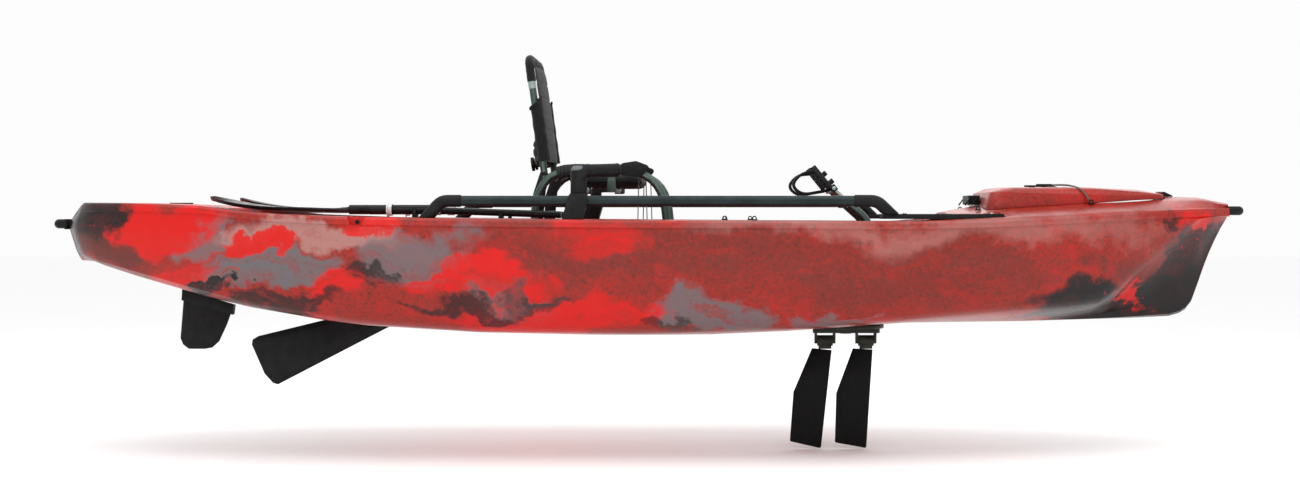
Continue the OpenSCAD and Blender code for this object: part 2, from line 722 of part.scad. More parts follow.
// The blade hangs under the raised stern, so its top edge follows the bottom's slope
head_gap = 11;
blade_t = 13;
rudder_fore = rudder_x + 63;
rudder_aft = rudder_x - 104;
kick_x = rudder_x - 84;
kick_z = keel_z(kick_x) - head_gap - 17;
module rudder_stock() {
    color(black) {
        translate([rudder_x, 0, keel_z(rudder_x) - head_gap - 3])
            cylinder(r = stock_r, h = rudder_tube_top - keel_z(rudder_x) + head_gap + 12, $fn = 40);
        // tiller disc on the deck
        translate([rudder_x, 0, rudder_tube_top + 4 + fit]) cylinder(r = tiller_r, h = 7, $fn = 48);
        difference() {
            upright_plate([[rudder_fore, keel_z(rudder_fore) - head_gap - 3],
                [rudder_aft + 4, keel_z(rudder_aft) - head_gap],
                [kick_x - 18, kick_z - 12], [kick_x + 4, kick_z - 20],
                [rudder_fore - 4, keel_z(rudder_fore) - head_gap - 34]], blade_t + 13);
            upright_plate([[rudder_aft - 30, kick_z - 90], [rudder_aft - 30, kick_z + 50],
                [kick_x + 15, kick_z + 50], [kick_x + 17, kick_z + 11], [rudder_x + 60, kick_z - 36],
                [rudder_fore + 30, kick_z - 36], [rudder_fore + 30, kick_z - 90]], blade_t + 2 * fit);
        }
        pin_y(kick_x, kick_z, 4, -blade_t / 2 - 5, blade_t / 2 + 5);
    }
}

rudder_foot_z = kick_z - rudder_depth + 12;
module rudder_blade() {
    color(black)
    difference() {
        hull() {
            upright_plate([[kick_x + 10, kick_z + 9], [rudder_x + 56, kick_z - 40],
                [rudder_x + 38, kick_z - 90], [rudder_x + 14, rudder_foot_z + 24],
                [rudder_x - 8, rudder_foot_z + 4], [rudder_x - 30, rudder_foot_z],
                [rudder_aft + 22, rudder_foot_z], [rudder_aft + 4, rudder_foot_z + 14],
                [rudder_aft - 4, rudder_foot_z + 34], [kick_x - 14, kick_z - 6]], 3);
            upright_plate([[kick_x + 8, kick_z + 6], [rudder_x + 30, kick_z - 34],
                [rudder_x + 4, rudder_foot_z + 40], [rudder_x - 40, rudder_foot_z + 26],
                [rudder_aft + 34, rudder_foot_z + 40], [kick_x - 6, kick_z - 4]], blade_t);
        }
        pin_y(kick_x, kick_z, 4 + fit, -blade_t, blade_t);
    }
}

// ---------------------------------------------------------------- skeg
skeg_down = 34;
module skeg_pin() {
    color([0.55, 0.55, 0.56])
    pin_y(skeg_pin_x, skeg_pin_z, 5, -skeg_slot / 2 - 3, skeg_slot / 2 + 3);
}
module skeg_blade() {
    color(black)
    difference() {
        translate([skeg_pin_x, 0, skeg_pin_z]) {
            hull() {
                upright_plate([[24, -4], [10, -26], [-skeg_len * 0.86, -skeg_len * 0.516],
                    [-skeg_len * 0.895, -skeg_len * 0.506], [-skeg_len * 0.955, -skeg_len * 0.44],
                    [-skeg_len * 1.045, -skeg_len * 0.235], [-skeg_len * 1.04, -skeg_len * 0.2],
                    [-skeg_len * 1.0, -skeg_len * 0.175], [-20, 26], [14, 22]], 4);
                upright_plate([[16, -2], [4, -16], [-skeg_len * 0.86, -skeg_len * 0.44],
                    [-skeg_len * 0.97, -skeg_len * 0.24], [-18, 18], [10, 14]], skeg_t);
            }
        }
        pin_y(skeg_pin_x, skeg_pin_z, 5 + fit, -30, 30);
    }
}

// ---------------------------------------------------------------- seat
frame_y = seat_w / 2;
arch_aft = seat_x - 206;
arch_front = seat_x + 213;
function arch_path() = rounded([[arch_aft - 4, floor_h + 16], [arch_aft - 3, floor_h + 84],
    [arch_aft + 4, arm_h - 74], [arch_aft + 62, arm_h], [arch_front - 98, arm_h],
    [arch_front - 28, arm_h - 57], [arch_front - 1, floor_h + 84], [arch_front, floor_h + 16]], 62, 4);
module seat_side_frames() {
    color(tube_green)
    for (s = [-1, 1]) translate([0, s * frame_y, 0])
        planar_bar(arch_path(), seat_tube_d / 2, 12);
}
foot_x = [arch_aft - 4, arch_front];
module seat_feet() {
    color(black)
    for (s = [-1, 1], x = foot_x)
        translate([x, s * frame_y, floor_h + touch + 4]) {
            difference() {
                union() {
                    cylinder(r = seat_tube_d / 2 + 5, h = 40, $fn = 40);
                    translate([-26, -20, 0]) cube([52, 40, 8]);
                }
                translate([0, 0, 11.6 - touch]) cylinder(r = seat_tube_d / 2 + 1.6, h = 40, $fn = 40);
            }
        }
}
cross_z = arm_h - 55;
cross_r = 9;
cross_x = [arch_aft + 130, arch_front - 184];
module seat_cross_tubes() {
    color(tube_green)
    for (x = cross_x) {
        pin_y(x, cross_z, cross_r, -frame_y + 2, frame_y - 2);
        // hanger plates up to the padded arms
        for (s = [-1, 1]) translate([0, s * (frame_y - 4), 0])
            upright_plate([[x - 15, cross_z - 12], [x + 15, cross_z - 12],
                [x + 11, arm_h - sleeve_r - touch], [x - 11, arm_h - sleeve_r - touch]], 8);
    }
}
pan_aft = arch_aft + 122;
pan_front = arch_front - 72;
pan_half = frame_y - seat_tube_d / 2 - 16;
module seat_pan() {
    color(black)
    hull() {
        for (x = [pan_aft + 20, pan_front - 20], s = [-1, 1])
            translate([x, s * (pan_half - 20), cross_z + cross_r + touch]) cylinder(r = 20, h = 6, $fn = 24);
        for (x = [pan_aft + 30, pan_front - 26], s = [-1, 1])
            translate([x, s * (pan_half - 28), cross_z + cross_r + 6]) cylinder(r = 20, h = 24, $fn = 24);
    }
}
sleeve_r = 20;
function sleeve_path() = [for (p = arch_path())
    if (p[0] > arch_aft + 54 && p[0] < cap_x - 30 && p[1] > arm_h - 46) p];
module arm_sleeves() {
    color(graphite)
    for (s = [-1, 1]) translate([0, s * frame_y, 0])
        difference() {
            planar_bar(concat(sleeve_path(), [[cap_x - 21, arm_h]]), sleeve_r, 16);
            planar_bar(arch_path(), seat_tube_d / 2 + touch, 12);
        }
}
cap_x = arch_front - 142;
module seat_corner_caps() {
    color(black)
    for (s = [-1, 1]) translate([0, s * frame_y, 0])
        difference() {
            hull() {
                translate([cap_x, 0, arm_h + 4]) rotate([90, 0, 0]) cylinder(r = 19, h = 34, center = true, $fn = 32);
                translate([cap_x + 32, 0, arm_h + 14]) rotate([90, 0, 0]) cylinder(r = 14, h = 34, center = true, $fn = 32);
                translate([cap_x + 62, 0, arm_h + 8]) rotate([90, 0, 0]) cylinder(r = 9, h = 30, center = true, $fn = 32);
                translate([cap_x + 44, 0, arm_h - 12]) rotate([90, 0, 0]) cylinder(r = 8, h = 30, center = true, $fn = 32);
            }
            translate([cap_x - 60, 0, arm_h]) rotate([0, 90, 0]) cylinder(r = seat_tube_d / 2 + touch, h = 200, $fn = 40);
            planar_bar(arch_path(), seat_tube_d / 2 + 0.6, 12);
        }
}
back_hinge_x = arch_aft + 29;
back_hinge_z = arm_h - 20;
bracket_y = frame_y - seat_tube_d / 2 - 8;
module recline_brackets() {
    color(black)
    for (s = [-1, 1]) {
        difference() {
            translate([0, s * (bracket_y + 4), 0])
                upright_plate([[arch_aft - 10, arm_h - 150], [arch_aft + 26, arm_h - 150],
                    [arch_aft + 34, arm_h - 60], [back_hinge_x + 20, back_hinge_z + 2], [back_hinge_x + 6, back_hinge_z + 18],
                    [back_hinge_x - 12, back_hinge_z + 14], [arch_aft - 4, arm_h - 70]], 7.4);
            pin_y(back_hinge_x, back_hinge_z, 5 + fit, -400, 400);
        }
    }
}
module seat_cords() {
    color([0.75, 0.75, 0.76])
    for (s = [-1, 1]) {
        bar3([pan_front - 8, s * (pan_half + 6), cross_z + 20], [pan_front + 2, s * (pan_half + 4), floor_h + 4.6 + touch], 1.6);
        bar3([pan_front - 30, s * (pan_half + 6), cross_z + 26], [pan_front - 38, s * (pan_half + 4), floor_h + 4.6 + touch], 1.6);
    }
}
module bar3(a, b, r) {
    d = b - a;
    translate(a) rotate([0, acos(d[2] / norm(d)), atan2(d[1], d[0])]) cylinder(r = r, h = norm(d), $fn = 16);
}

// The backrest is drawn upright about its hinge and leaned back
back_half = pan_half - 4;
back_tube_r = 11;
module on_back() {
    translate([back_hinge_x, 0, back_hinge_z]) rotate([0, -back_lean, 0]) children();
}
module back_frame() {
    color(tube_green)
    on_back() {
        translate([0, 0, 20]) rotate([0, 0, 90]) rotate([0, 0, 0])
            planar_bar(rounded([[-back_half + 12, -20], [-back_half + 12, back_len - 18], [back_half - 12, back_len - 18],
                [back_half - 12, -20]], 60, 6), back_tube_r, 12);
        for (s = [-1, 1])
            rotate([90, 0, 0]) translate([0, 0, s > 0 ? -bracket_y + 0.5 : back_half - 12])
                cylinder(r = 5, h = bracket_y + 7 - back_half + 12, $fn = 32);
    }
}
module back_mesh() {
    color(black)
    on_back()
        hull()
            for (s = [-1, 1]) {
                translate([back_tube_r + 5, s * (back_half - 24), 46]) cylinder(r = 4.5, h = back_len - 58, $fn = 16);
                translate([back_tube_r + 16, s * (back_half - 52), 52]) cylinder(r = 6, h = back_len - 84, $fn = 16);
            }
}
pad_z = 74;
module lumbar_pad() {
    color(graphite)
    on_back()
        hull()
            for (s = [-1, 1], z = [pad_z - 26, pad_z + 34])
                translate([-back_tube_r + 10, s * (back_half - 12 - back_tube_r - touch - 16), z])
                    rotate([0, 90, 0]) translate([0, 0, -24]) cylinder(r = 16, h = 24, $fn = 24);
}
dial_z = 52;
module lumbar_dial() {
    color([0.3, 0.3, 0.3])
    on_back()
        translate([-back_tube_r - 14 - fit, 0, dial_z]) rotate([0, -90, 0]) {
            cylinder(r = 9, h = 12, $fn = 32);
            translate([0, 0, 8]) cylinder(r = 20, h = 7, $fn = 40);
            translate([0, 0, 18]) cylinder(r = 22, h = 9, $fn = 40);
            cylinder(r = 12, h = 20, $fn = 32);
        }
}

// ---------------------------------------------------------------- pedal drive
axle_x = drive_x + 71;
axle_z = crank_pivot_h;
hub_z = -22;
hub_r = 17;
column_r = 32;
shaft_r = 20;
turret_top = 30;
plug_z = console_h - 20;
module drive_column() {
    color(graphite)
    translate([drive_x, 0, 0])
        difference() {
            union() {
                translate([0, 0, turret_top + fit]) cylinder(r = column_r, h = plug_z - turret_top, $fn = 48);
                translate([0, 0, plug_z]) cylinder(r = well_r - 3, h = 18, $fn = 64);
            }
            cylinder(r = shaft_r + fit, h = plug_z + 4, $fn = 48);
        }
}
drum_r = 21;
crank_y = crank_track / 2;
head_half = crank_y - 44;
module drive_head() {
    color(graphite)
    difference() {
        hull() {
            translate([drive_x - 34, -head_half + 10, plug_z + 18]) cube([70, 2 * head_half - 20, 34]);
            translate([axle_x, 0, axle_z]) rotate([90, 0, 0]) cylinder(r = 24, h = 2 * head_half, center = true, $fn = 32);
            translate([axle_x - 20, -head_half + 6, plug_z + 18]) cube([34, 2 * head_half - 12, 10]);
        }
        pin_y(axle_x, axle_z, 9, -head_half - 5, head_half + 5);
    }
}
module crank_axle() {
    color([0.6, 0.6, 0.62])
    pin_y(axle_x, axle_z, 8.9, -crank_y - 17, crank_y + 17);
}

lower_half = 106;
module turret() {
    color(graphite)
    translate([drive_x, 0, 0]) {
        translate([0, 0, turret_top - 12]) cylinder(r = well_r - 4, h = 12, $fn = 64);
        cylinder(r = shaft_r, h = plug_z, $fn = 48);
    }
}
module lower_housing() {
    color([0.16, 0.16, 0.14])
    difference() {
        union() {
            hull()
                for (x = [-lower_half + 20, lower_half - 20])
                    translate([drive_x + 3 + x, 0, 2]) cylinder(r = 20, h = 16, $fn = 32);
            for (h = [-1, 1]) for (e = [-1, 1])
                translate([hub_x(h) + e * 29, 0, 0]) hull() {
                    translate([-4, -14, 2]) cube([8, 28, 6]);
                    translate([-4, 0, hub_z + 2]) rotate([0, 90, 0]) cylinder(r = 12, h = 8, $fn = 32);
                }
        }
        translate([drive_x - 150, 0, hub_z]) rotate([0, 90, 0]) cylinder(r = 5 + fit, h = 300, $fn = 32);
        translate([drive_x, 0, -1]) cylinder(r = shaft_r + 0.2, h = 40, $fn = 48);
        for (h = [-1, 1])
            translate([hub_x(h) - 25, 0, hub_z]) rotate([0, 90, 0]) cylinder(r = hub_r + 5, h = 50, $fn = 40);
    }
}
function hub_x(h) = drive_x + h * hub_gap / 2;
module fin_hub(h) {
    color([0.2, 0.2, 0.17])
    translate([hub_x(h), 0, hub_z]) {
        rotate([0, 90, 0]) translate([0, 0, -24.4]) cylinder(r = hub_r, h = 48.8, $fn = 40);
        rotate([0, 90, 0]) translate([0, 0, -33]) cylinder(r = 5, h = 66, $fn = 32);
        translate([-20, -9, -26]) cube([40, 18, 20]);
    }
}
module front_fin_hub() { fin_hub(1); }
module rear_fin_hub() { fin_hub(-1); }

// Leading edge forward; the blade is thick there and thin at its aft edge
function fin_top(rake) = -26.3 - 35 * sin(rake);     // its top clears the hub's foot
module fin(h, rake) {
    color(black)
    translate([hub_x(h) + 15, 0, hub_z + fin_top(rake)]) rotate([0, rake, 0]) {
        hull() {
            translate([0, 0, -fin_len]) cylinder(r1 = 5, r2 = 6.5, h = fin_len, $fn = 24);
            upright_plate([[0, 0], [0, -fin_len - 3], [-92, -fin_len + 8], [-95, -fin_len + 12],
                [-100, -144], [-98, -138], [-56, 0]], 3);
        }
    }
}
module front_fin() { fin(1, 3.4); }
module rear_fin() { fin(-1, 6); }

// Cranks: a hub on the axle, an arm that rises and leans aft, and a post that slides in its end
arm_knee = [axle_x + 5, axle_z + 137];
arm_mouth = arm_knee + 92 * [-cos(42), sin(42)];
post_end = arm_knee + 166 * [-cos(42), sin(42)];
post_r = 9;
module crank(s) {
    color(tube_green)
    translate([0, s * crank_y, 0]) {
        difference() {
            union() {
                planar_bar(rounded([[axle_x, axle_z + 20], arm_knee, arm_mouth], 50, 5), crank_d / 2, 16);
                translate([axle_x, 0, axle_z]) rotate([90, 0, 0]) cylinder(r = drum_r, h = 26, center = true, $fn = 48);
            }
            translate([axle_x, 0, axle_z]) rotate([90, 0, 0]) cylinder(r = 8.9 + fit, h = 60, center = true, $fn = 40);
            along_arm(arm_knee) translate([0, 0, 18]) cylinder(r = post_r + fit, h = 200, $fn = 40);
        }
    }
}
module crank_right() { crank(STARBOARD); }
module crank_left() { crank(PORT); }
// Local +Z runs along the upper arm, up and aft
module along_arm(p) {
    translate([p[0], 0, p[1]]) rotate([0, -48, 0]) children();
}
module crank_post(s) {
    color([0.62, 0.66, 0.65])
    translate([0, s * crank_y, 0]) {
        along_arm(arm_knee) translate([0, 0, 30]) cylinder(r = post_r, h = 166 - 30, $fn = 40);
        translate([post_end[0], 0, post_end[1]]) rotate([90, 0, 0]) cylinder(r = 13, h = 24, center = true, $fn = 40);
        translate([post_end[0], 0, post_end[1]]) rotate([90, 0, 0])
            translate([0, 0, s > 0 ? -118 : 0]) cylinder(r = 6, h = 118, $fn = 32);
    }
}
module crank_post_right() { crank_post(STARBOARD); }
module crank_post_left() { crank_post(PORT); }

plate_len = 92;
plate_w = 92;
plate_lean = -39;
module on_pedal(s) {
    translate([post_end[0], s * (crank_y + 14 + plate_w / 2), post_end[1]]) rotate([0, plate_lean, 0]) children();
}
module pedal(s) {
    color(black)
    on_pedal(s)
        difference() {
            union() {
                translate([0, -plate_w / 2 * 1, -10]) translate([-9, 0, 0]) cube([18, plate_w, 20]);
                translate([-9, -plate_w / 2, 0]) cube([9, plate_w, plate_len]);
                for (i = [0:4]) translate([-13, -plate_w / 2, 14 + i * 16]) cube([5, plate_w, 6]);
                for (e = [-1, 1]) translate([-15, e * (plate_w / 2 - 3) - 3, 8]) cube([13, 6, plate_len - 8]);
                translate([0, 0, 20]) rotate([0, 90, 0]) cylinder(r = 8, h = 16, $fn = 32);
                translate([0, 0, 52]) rotate([0, 90, 0]) cylinder(r = 8, h = 14, $fn = 32);
            }
            rotate([90, 0, 0]) cylinder(r = 6 + fit, h = 200, center = true, $fn = 40);
        }
}
module pedal_right() { pedal(STARBOARD); }
module pedal_left() { pedal(PORT); }
module pedal_strap(s) {
    color(black)
    on_pedal(s)
        upright_plate(band(rounded([[-13.5, 76], [-46, 98], [-94, 90], [-88, 46], [-13.5, 4]], 26, 5), 3), 36);
}
module pedal_strap_right() { pedal_strap(STARBOARD); }
module pedal_strap_left() { pedal_strap(PORT); }

// ---------------------------------------------------------------- paddle, stowed in two halves
paddle_z = rim_z(-700) + shaft_d / 2 + 10;
paddle_front = -250;
paddle_join = -610;
paddle_neck = -890;
port_shift = -45;
module on_paddle(s) {
    translate([s > 0 ? port_shift : 0, s * 352, 0]) translate([paddle_front, 0, 0])
        rotate([0, 0, -s * -4.2]) translate([-paddle_front, 0, 0]) children();
}
module paddle_shafts() {
    color(black)
    for (s = [-1, 1]) on_paddle(s) {
        translate([paddle_neck, 0, paddle_z]) rotate([0, 90, 0])
            cylinder(d = shaft_d, h = paddle_join - paddle_neck, $fn = 40);
        translate([paddle_join, 0, paddle_z - 3]) rotate([0, 92, 0])
            cylinder(d = shaft_d - 8, h = paddle_front - paddle_join, $fn = 40);
    }
}
module paddle_rings() {
    color(graphite)
    for (s = [-1, 1]) on_paddle(s) {
        // joint ferrule between the two halves of the shaft
        shaft_ring(paddle_join - 26, 24, shaft_d / 2 + 2.5);
        // drip ring, a disc on a collar
        shaft_ring(-774, 4, shaft_d / 2 + 8);
        shaft_ring(-769.8, 11, shaft_d / 2 + 4);
    }
}
module shaft_ring(x, len, r) {
    translate([x, 0, paddle_z]) rotate([0, 90, 0])
        difference() {
            cylinder(r = r, h = len, $fn = 40);
            translate([0, 0, -1]) cylinder(d = shaft_d + 0.4, h = len + 2, $fn = 40);
        }
}
// A spoon-shaped blade, lofted from the neck to the tip
blade_rows = 16;
blade_cols = 8;
function blade_half(t) = mix(shaft_d / 2 - 1, blade_w / 2, pow(sin(min(1, t * 1.5) * 90), 1.6))
    * (t > 0.86 ? sqrt(max(0.02, 1 - pow((t - 0.86) / 0.145, 2))) : 1);
function blade_rise(t) = -9 * sin(t * 150) + 33 * pow(t, 3);
module paddle_blade() {
    n = blade_cols;
    rows = [for (i = [0:blade_rows])
        let (t = i / blade_rows, w = blade_half(t), th = mix(9, 2.2, min(1, t * 2.4)))
        concat(
            [for (k = [0:n]) let (v = -1 + 2 * k / n)
                [paddle_neck - t * blade_len, v * w, paddle_z + blade_rise(t) + 12 * v * v * min(1, t * 3) + th * (1 - v * v * 0.6)]],
            [for (k = [n:-1:0]) let (v = -1 + 2 * k / n)
                [paddle_neck - t * blade_len, v * w, paddle_z + blade_rise(t) + 12 * v * v * min(1, t * 3) - th * (1 - v * v * 0.6)]])];
    m = len(rows[0]);
    polyhedron(
        points = [for (r = rows) for (p = r) p],
        faces = concat(
            [[for (k = [0:m - 1]) k]],
            [for (i = [0:blade_rows - 1]) for (k = [0:m - 1])
                let (j = (k + 1) % m, a = i * m, b = a + m) [a + k, b + k, b + j, a + j]],
            [[for (k = [m - 1:-1:0]) blade_rows * m + k]]),
        convexity = 6);
}
module paddle_blades() {
    color([0.1, 0.1, 0.11])
    for (s = [-1, 1]) on_paddle(s) paddle_blade();
}
function shaft_z(x) = x < paddle_join ? paddle_z : paddle_z - 3 - (x - paddle_join) * tan(2);
module paddle_clips() {
    color(black)
    for (s = [-1, 1], x = [-690, -430]) on_paddle(s) {
        d = x < paddle_join ? shaft_d : shaft_d - 8;
        translate([x, 0, 0])
            difference() {
                translate([-6, -d / 2 - 4, rim_z(x) + 0.8])
                    cube([12, d + 8, shaft_z(x) + 4 - rim_z(x)]);
                translate([-20, 0, shaft_z(x)]) rotate([0, x < paddle_join ? 90 : 92, 0])
                    cylinder(d = d + 1.4, h = 40, $fn = 40);
                translate([-20, -d / 2 + 2, shaft_z(x)]) cube([40, d - 4, 40]);
            }
    }
}

hull_shell();
deck_mats();
drive_well_ring();
rails();
rail_ends();
mounting_boards();
board_screws();
steering_base_right();
steering_base_left();
bow_handle();
stern_handle();
hatch_hinge();
deck_fittings();
paddle_clips();
rudder_tube();
skeg_pin();
stern_hatch_ring();
stern_hatch_cover();
seat_side_frames();
seat_cross_tubes();
seat_feet();
seat_pan();
arm_sleeves();
seat_corner_caps();
recline_brackets();
seat_cords();
drive_column();
drive_head();
crank_axle();
hatch_lid();
hatch_bungee();
hatch_cleat();
steering_grip();
steering_grip_cap();
rudder_lever();
turret();
lower_housing();
front_fin_hub();
front_fin();
rear_fin_hub();
rear_fin();
crank_right();
crank_left();
crank_post_right();
crank_post_left();
pedal_right();
pedal_left();
pedal_strap_right();
pedal_strap_left();
rudder_stock();
rudder_blade();
skeg_blade();
back_frame();
back_mesh();
lumbar_pad();
lumbar_dial();
paddle_blades();
paddle_shafts();
paddle_rings();
hatch_latch();
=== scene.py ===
import json
import math

import bmesh
import bpy
import numpy as np
from mathutils import Matrix, Vector


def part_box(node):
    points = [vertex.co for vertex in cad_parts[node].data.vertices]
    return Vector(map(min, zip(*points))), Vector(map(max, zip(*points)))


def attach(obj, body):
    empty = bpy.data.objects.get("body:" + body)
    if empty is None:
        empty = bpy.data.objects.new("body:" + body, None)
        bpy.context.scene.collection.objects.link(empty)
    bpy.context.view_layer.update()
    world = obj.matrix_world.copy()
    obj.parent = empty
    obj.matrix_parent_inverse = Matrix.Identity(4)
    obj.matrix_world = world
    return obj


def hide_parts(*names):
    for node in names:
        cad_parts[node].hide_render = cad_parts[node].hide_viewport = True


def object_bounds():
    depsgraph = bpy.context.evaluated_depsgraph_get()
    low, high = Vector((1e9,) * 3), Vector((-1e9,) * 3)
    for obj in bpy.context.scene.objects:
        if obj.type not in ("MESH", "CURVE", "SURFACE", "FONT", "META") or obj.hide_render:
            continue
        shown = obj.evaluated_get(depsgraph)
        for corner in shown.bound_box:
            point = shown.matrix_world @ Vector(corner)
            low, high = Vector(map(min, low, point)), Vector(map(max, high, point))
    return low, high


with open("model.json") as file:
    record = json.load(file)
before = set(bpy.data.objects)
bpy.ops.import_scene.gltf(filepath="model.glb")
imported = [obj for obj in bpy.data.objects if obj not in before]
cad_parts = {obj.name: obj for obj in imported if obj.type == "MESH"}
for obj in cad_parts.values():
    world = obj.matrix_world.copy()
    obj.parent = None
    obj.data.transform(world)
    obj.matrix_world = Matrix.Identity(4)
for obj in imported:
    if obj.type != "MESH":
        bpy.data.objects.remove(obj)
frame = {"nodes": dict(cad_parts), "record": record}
cad_box = [list(corner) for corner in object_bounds()]
record = frame["record"]

# ---------------------------------------------------------------- camera, light and floor
# A long lens looks square across the boat from its right side, a little above the gunwale.
# A pale floor lies under the fins, and broad soft lights hang above and in front.
camera = bpy.data.objects.new("camera", bpy.data.cameras.new("camera"))
camera.data.lens, camera.data.sensor_width = 55.3, 36.0
camera.data.shift_x, camera.data.shift_y = -0.0538, -0.0262
camera.data.clip_end = 100
camera.location = (0.2234, -6.3, 0.3707)
camera.rotation_euler = (math.radians(90), 0, 0)
bpy.context.scene.collection.objects.link(camera)
bpy.context.scene.camera = camera
bpy.context.scene.view_settings.view_transform = "Standard"


def soft_light(name, spot, aim, size, power):
    light = bpy.data.lights.new(name, "AREA")
    light.shape, light.size, light.size_y = "RECTANGLE", size[0], size[1]
    light.energy = power
    lamp = bpy.data.objects.new(name, light)
    lamp.location = spot
    lamp.rotation_euler = (Vector(aim) - Vector(spot)).to_track_quat("-Z", "Y").to_euler()
    bpy.context.scene.collection.objects.link(lamp)


soft_light("overhead", (0, -1.2, 4.2), (0, 0, 0.2), (7, 2.4), 105)
soft_light("front", (-1.6, -6.0, 3.0), (-0.3, 0, 0.1), (5, 2.5), 30)
soft_light("strip", (0.4, -5.0, 2.5), (0.3, 0, 0.3), (5.5, 0.35), 34)
soft_light("rim", (0.5, 4.5, 2.6), (0, 0, 0.3), (6, 2), 60)

world = bpy.data.worlds.new("studio")
world.use_nodes = True
world.node_tree.nodes["Background"].inputs[0].default_value = (1, 1, 1, 1)
world.node_tree.nodes["Background"].inputs[1].default_value = 0.98
bpy.context.scene.world = world


def new_piece(name, mesh):
    piece = bpy.data.objects.new(name, mesh)
    bpy.context.scene.collection.objects.link(piece)
    return piece


floor_mesh = bpy.data.meshes.new("studio_floor")
floor_z = cad_box[0][2] - 0.002
floor_mesh.from_pydata([(-30, -30, floor_z), (30, -30, floor_z), (30, 30, floor_z), (-30, 30, floor_z)],
                       [], [(0, 1, 2, 3)])
floor = new_piece("studio_floor", floor_mesh)


# ---------------------------------------------------------------- hull and hatch lid
# Rotomoulded shells whose coloured powders swirl together in the oven: a speckled red-brown ground with
# brighter red, grey and charcoal pours, pale painted highlights high on the sides, and a satin skin with a
# fine pebble.
def linear(red, green, blue):
    """Colour from 0-255 display values."""
    shares = [c / 255 for c in (red, green, blue)]
    return [c / 12.92 if c < 0.04 else ((c + 0.055) / 1.055) ** 2.4 for c in shares] + [1]


def place(tree, kind, **settings):
    """Puts a node in a tree; settings name its properties, or its sockets by _index."""
    node = tree.nodes.new(kind)
    for key, value in settings.items():
        if key.startswith("_"):
            socket = node.inputs[int(key[1:])]
            if isinstance(value, bpy.types.NodeSocket):
                tree.links.new(value, socket)
            else:
                socket.default_value = value
        else:
            setattr(node, key, value)
    return node


def calc(tree, operation, a, b=0.0, clamp=False):
    return place(tree, "ShaderNodeMath", operation=operation, use_clamp=clamp, _0=a, _1=b).outputs[0]


def noise_value(tree, vector, scale, detail=4.0, rough=0.55, twist=0.0):
    return place(tree, "ShaderNodeTexNoise", _0=vector, _2=scale, _3=detail, _4=rough, _8=twist).outputs[0]


def ramp(tree, value, low, high, to_low=0.0, to_high=1.0):
    return place(tree, "ShaderNodeMapRange", interpolation_type="SMOOTHSTEP",
                 _0=value, _1=low, _2=high, _3=to_low, _4=to_high).outputs[0]


def blend_colour(tree, share, a, b):
    node = place(tree, "ShaderNodeMix", data_type="RGBA", _0=share)
    for socket, value in ((node.inputs[6], a), (node.inputs[7], b)):
        if isinstance(value, bpy.types.NodeSocket):
            tree.links.new(value, socket)
        else:
            socket.default_value = value
    return node.outputs[2]


def start_group(name, inputs, outputs):
    """A shared node group with named sockets; inputs and outputs are (name, kind, default)."""
    tree = bpy.data.node_groups.new(name, "ShaderNodeTree")
    for label, kind, default in inputs:
        socket = tree.interface.new_socket(label, in_out="INPUT", socket_type="NodeSocket" + kind)
        if default is not None:
            socket.default_value = default
    for label, kind in outputs:
        tree.interface.new_socket(label, in_out="OUTPUT", socket_type="NodeSocket" + kind)
    return tree, tree.nodes.new("NodeGroupInput").outputs, tree.nodes.new("NodeGroupOutput").inputs


def use(tree, group, **values):
    """Places a shared group; values name its sockets."""
    node = tree.nodes.new("ShaderNodeGroup")
    node.node_tree = group
    for key, value in values.items():
        socket = node.inputs[key.replace("_", " ")]
        if isinstance(value, bpy.types.NodeSocket):
            tree.links.new(value, socket)
        else:
            socket.default_value = value
    return node.outputs


# An oval patch, for a pour of powder and for a painted highlight: full in the middle of an oval, fading over
# its edge
pour_and_highlight_group, g_in, g_out = start_group(
    "pour_and_painted_highlight",
    [("Place", "Vector", None), ("Middle", "Vector", None), ("Reach", "Vector", None),
     ("Edge", "Float", 0.3)],
    [("Mask", "Float")])
away = place(pour_and_highlight_group, "ShaderNodeVectorMath", operation="SUBTRACT", _0=g_in[0], _1=g_in[1]).outputs[0]
away = place(pour_and_highlight_group, "ShaderNodeVectorMath", operation="DIVIDE", _0=away, _1=g_in[2]).outputs[0]
away = place(pour_and_highlight_group, "ShaderNodeVectorMath", operation="LENGTH", _0=away).outputs[1]
pour_and_highlight_group.links.new(ramp(pour_and_highlight_group, away, calc(pour_and_highlight_group, "ADD", 1.0, g_in[3]),
                          calc(pour_and_highlight_group, "SUBTRACT", 1.0, g_in[3])), g_out[0])

# Fine pebble of a moulded surface, as a height
grain_group, g_in, g_out = start_group(
    "mould_grain", [("Place", "Vector", None), ("Scale", "Float", 900.0)], [("Height", "Float")])
cells = place(grain_group, "ShaderNodeTexVoronoi", feature="SMOOTH_F1", _0=g_in[0], _2=g_in[1]).outputs[0]
wide = noise_value(grain_group, g_in[0], calc(grain_group, "MULTIPLY", g_in[1], 0.3), 3.0)
grain_group.links.new(calc(grain_group, "ADD", cells, calc(grain_group, "MULTIPLY", wide, 0.8)), g_out[0])

# Dust and handling marks that settle on faces that look up
dust_group, g_in, g_out = start_group(
    "settled_dust", [("Place", "Vector", None), ("Amount", "Float", 0.3)], [("Mask", "Float")])
up = place(dust_group, "ShaderNodeSeparateXYZ",
           _0=place(dust_group, "ShaderNodeNewGeometry").outputs["Normal"]).outputs[2]
patchy = ramp(dust_group, noise_value(dust_group, g_in[0], 14.0, 6.0, 0.65), 0.42, 0.7)
settled = calc(dust_group, "MULTIPLY", ramp(dust_group, up, 0.2, 1.0, 0.25, 1.0), patchy)
dust_group.links.new(calc(dust_group, "MULTIPLY", settled, g_in[1]), g_out[0])


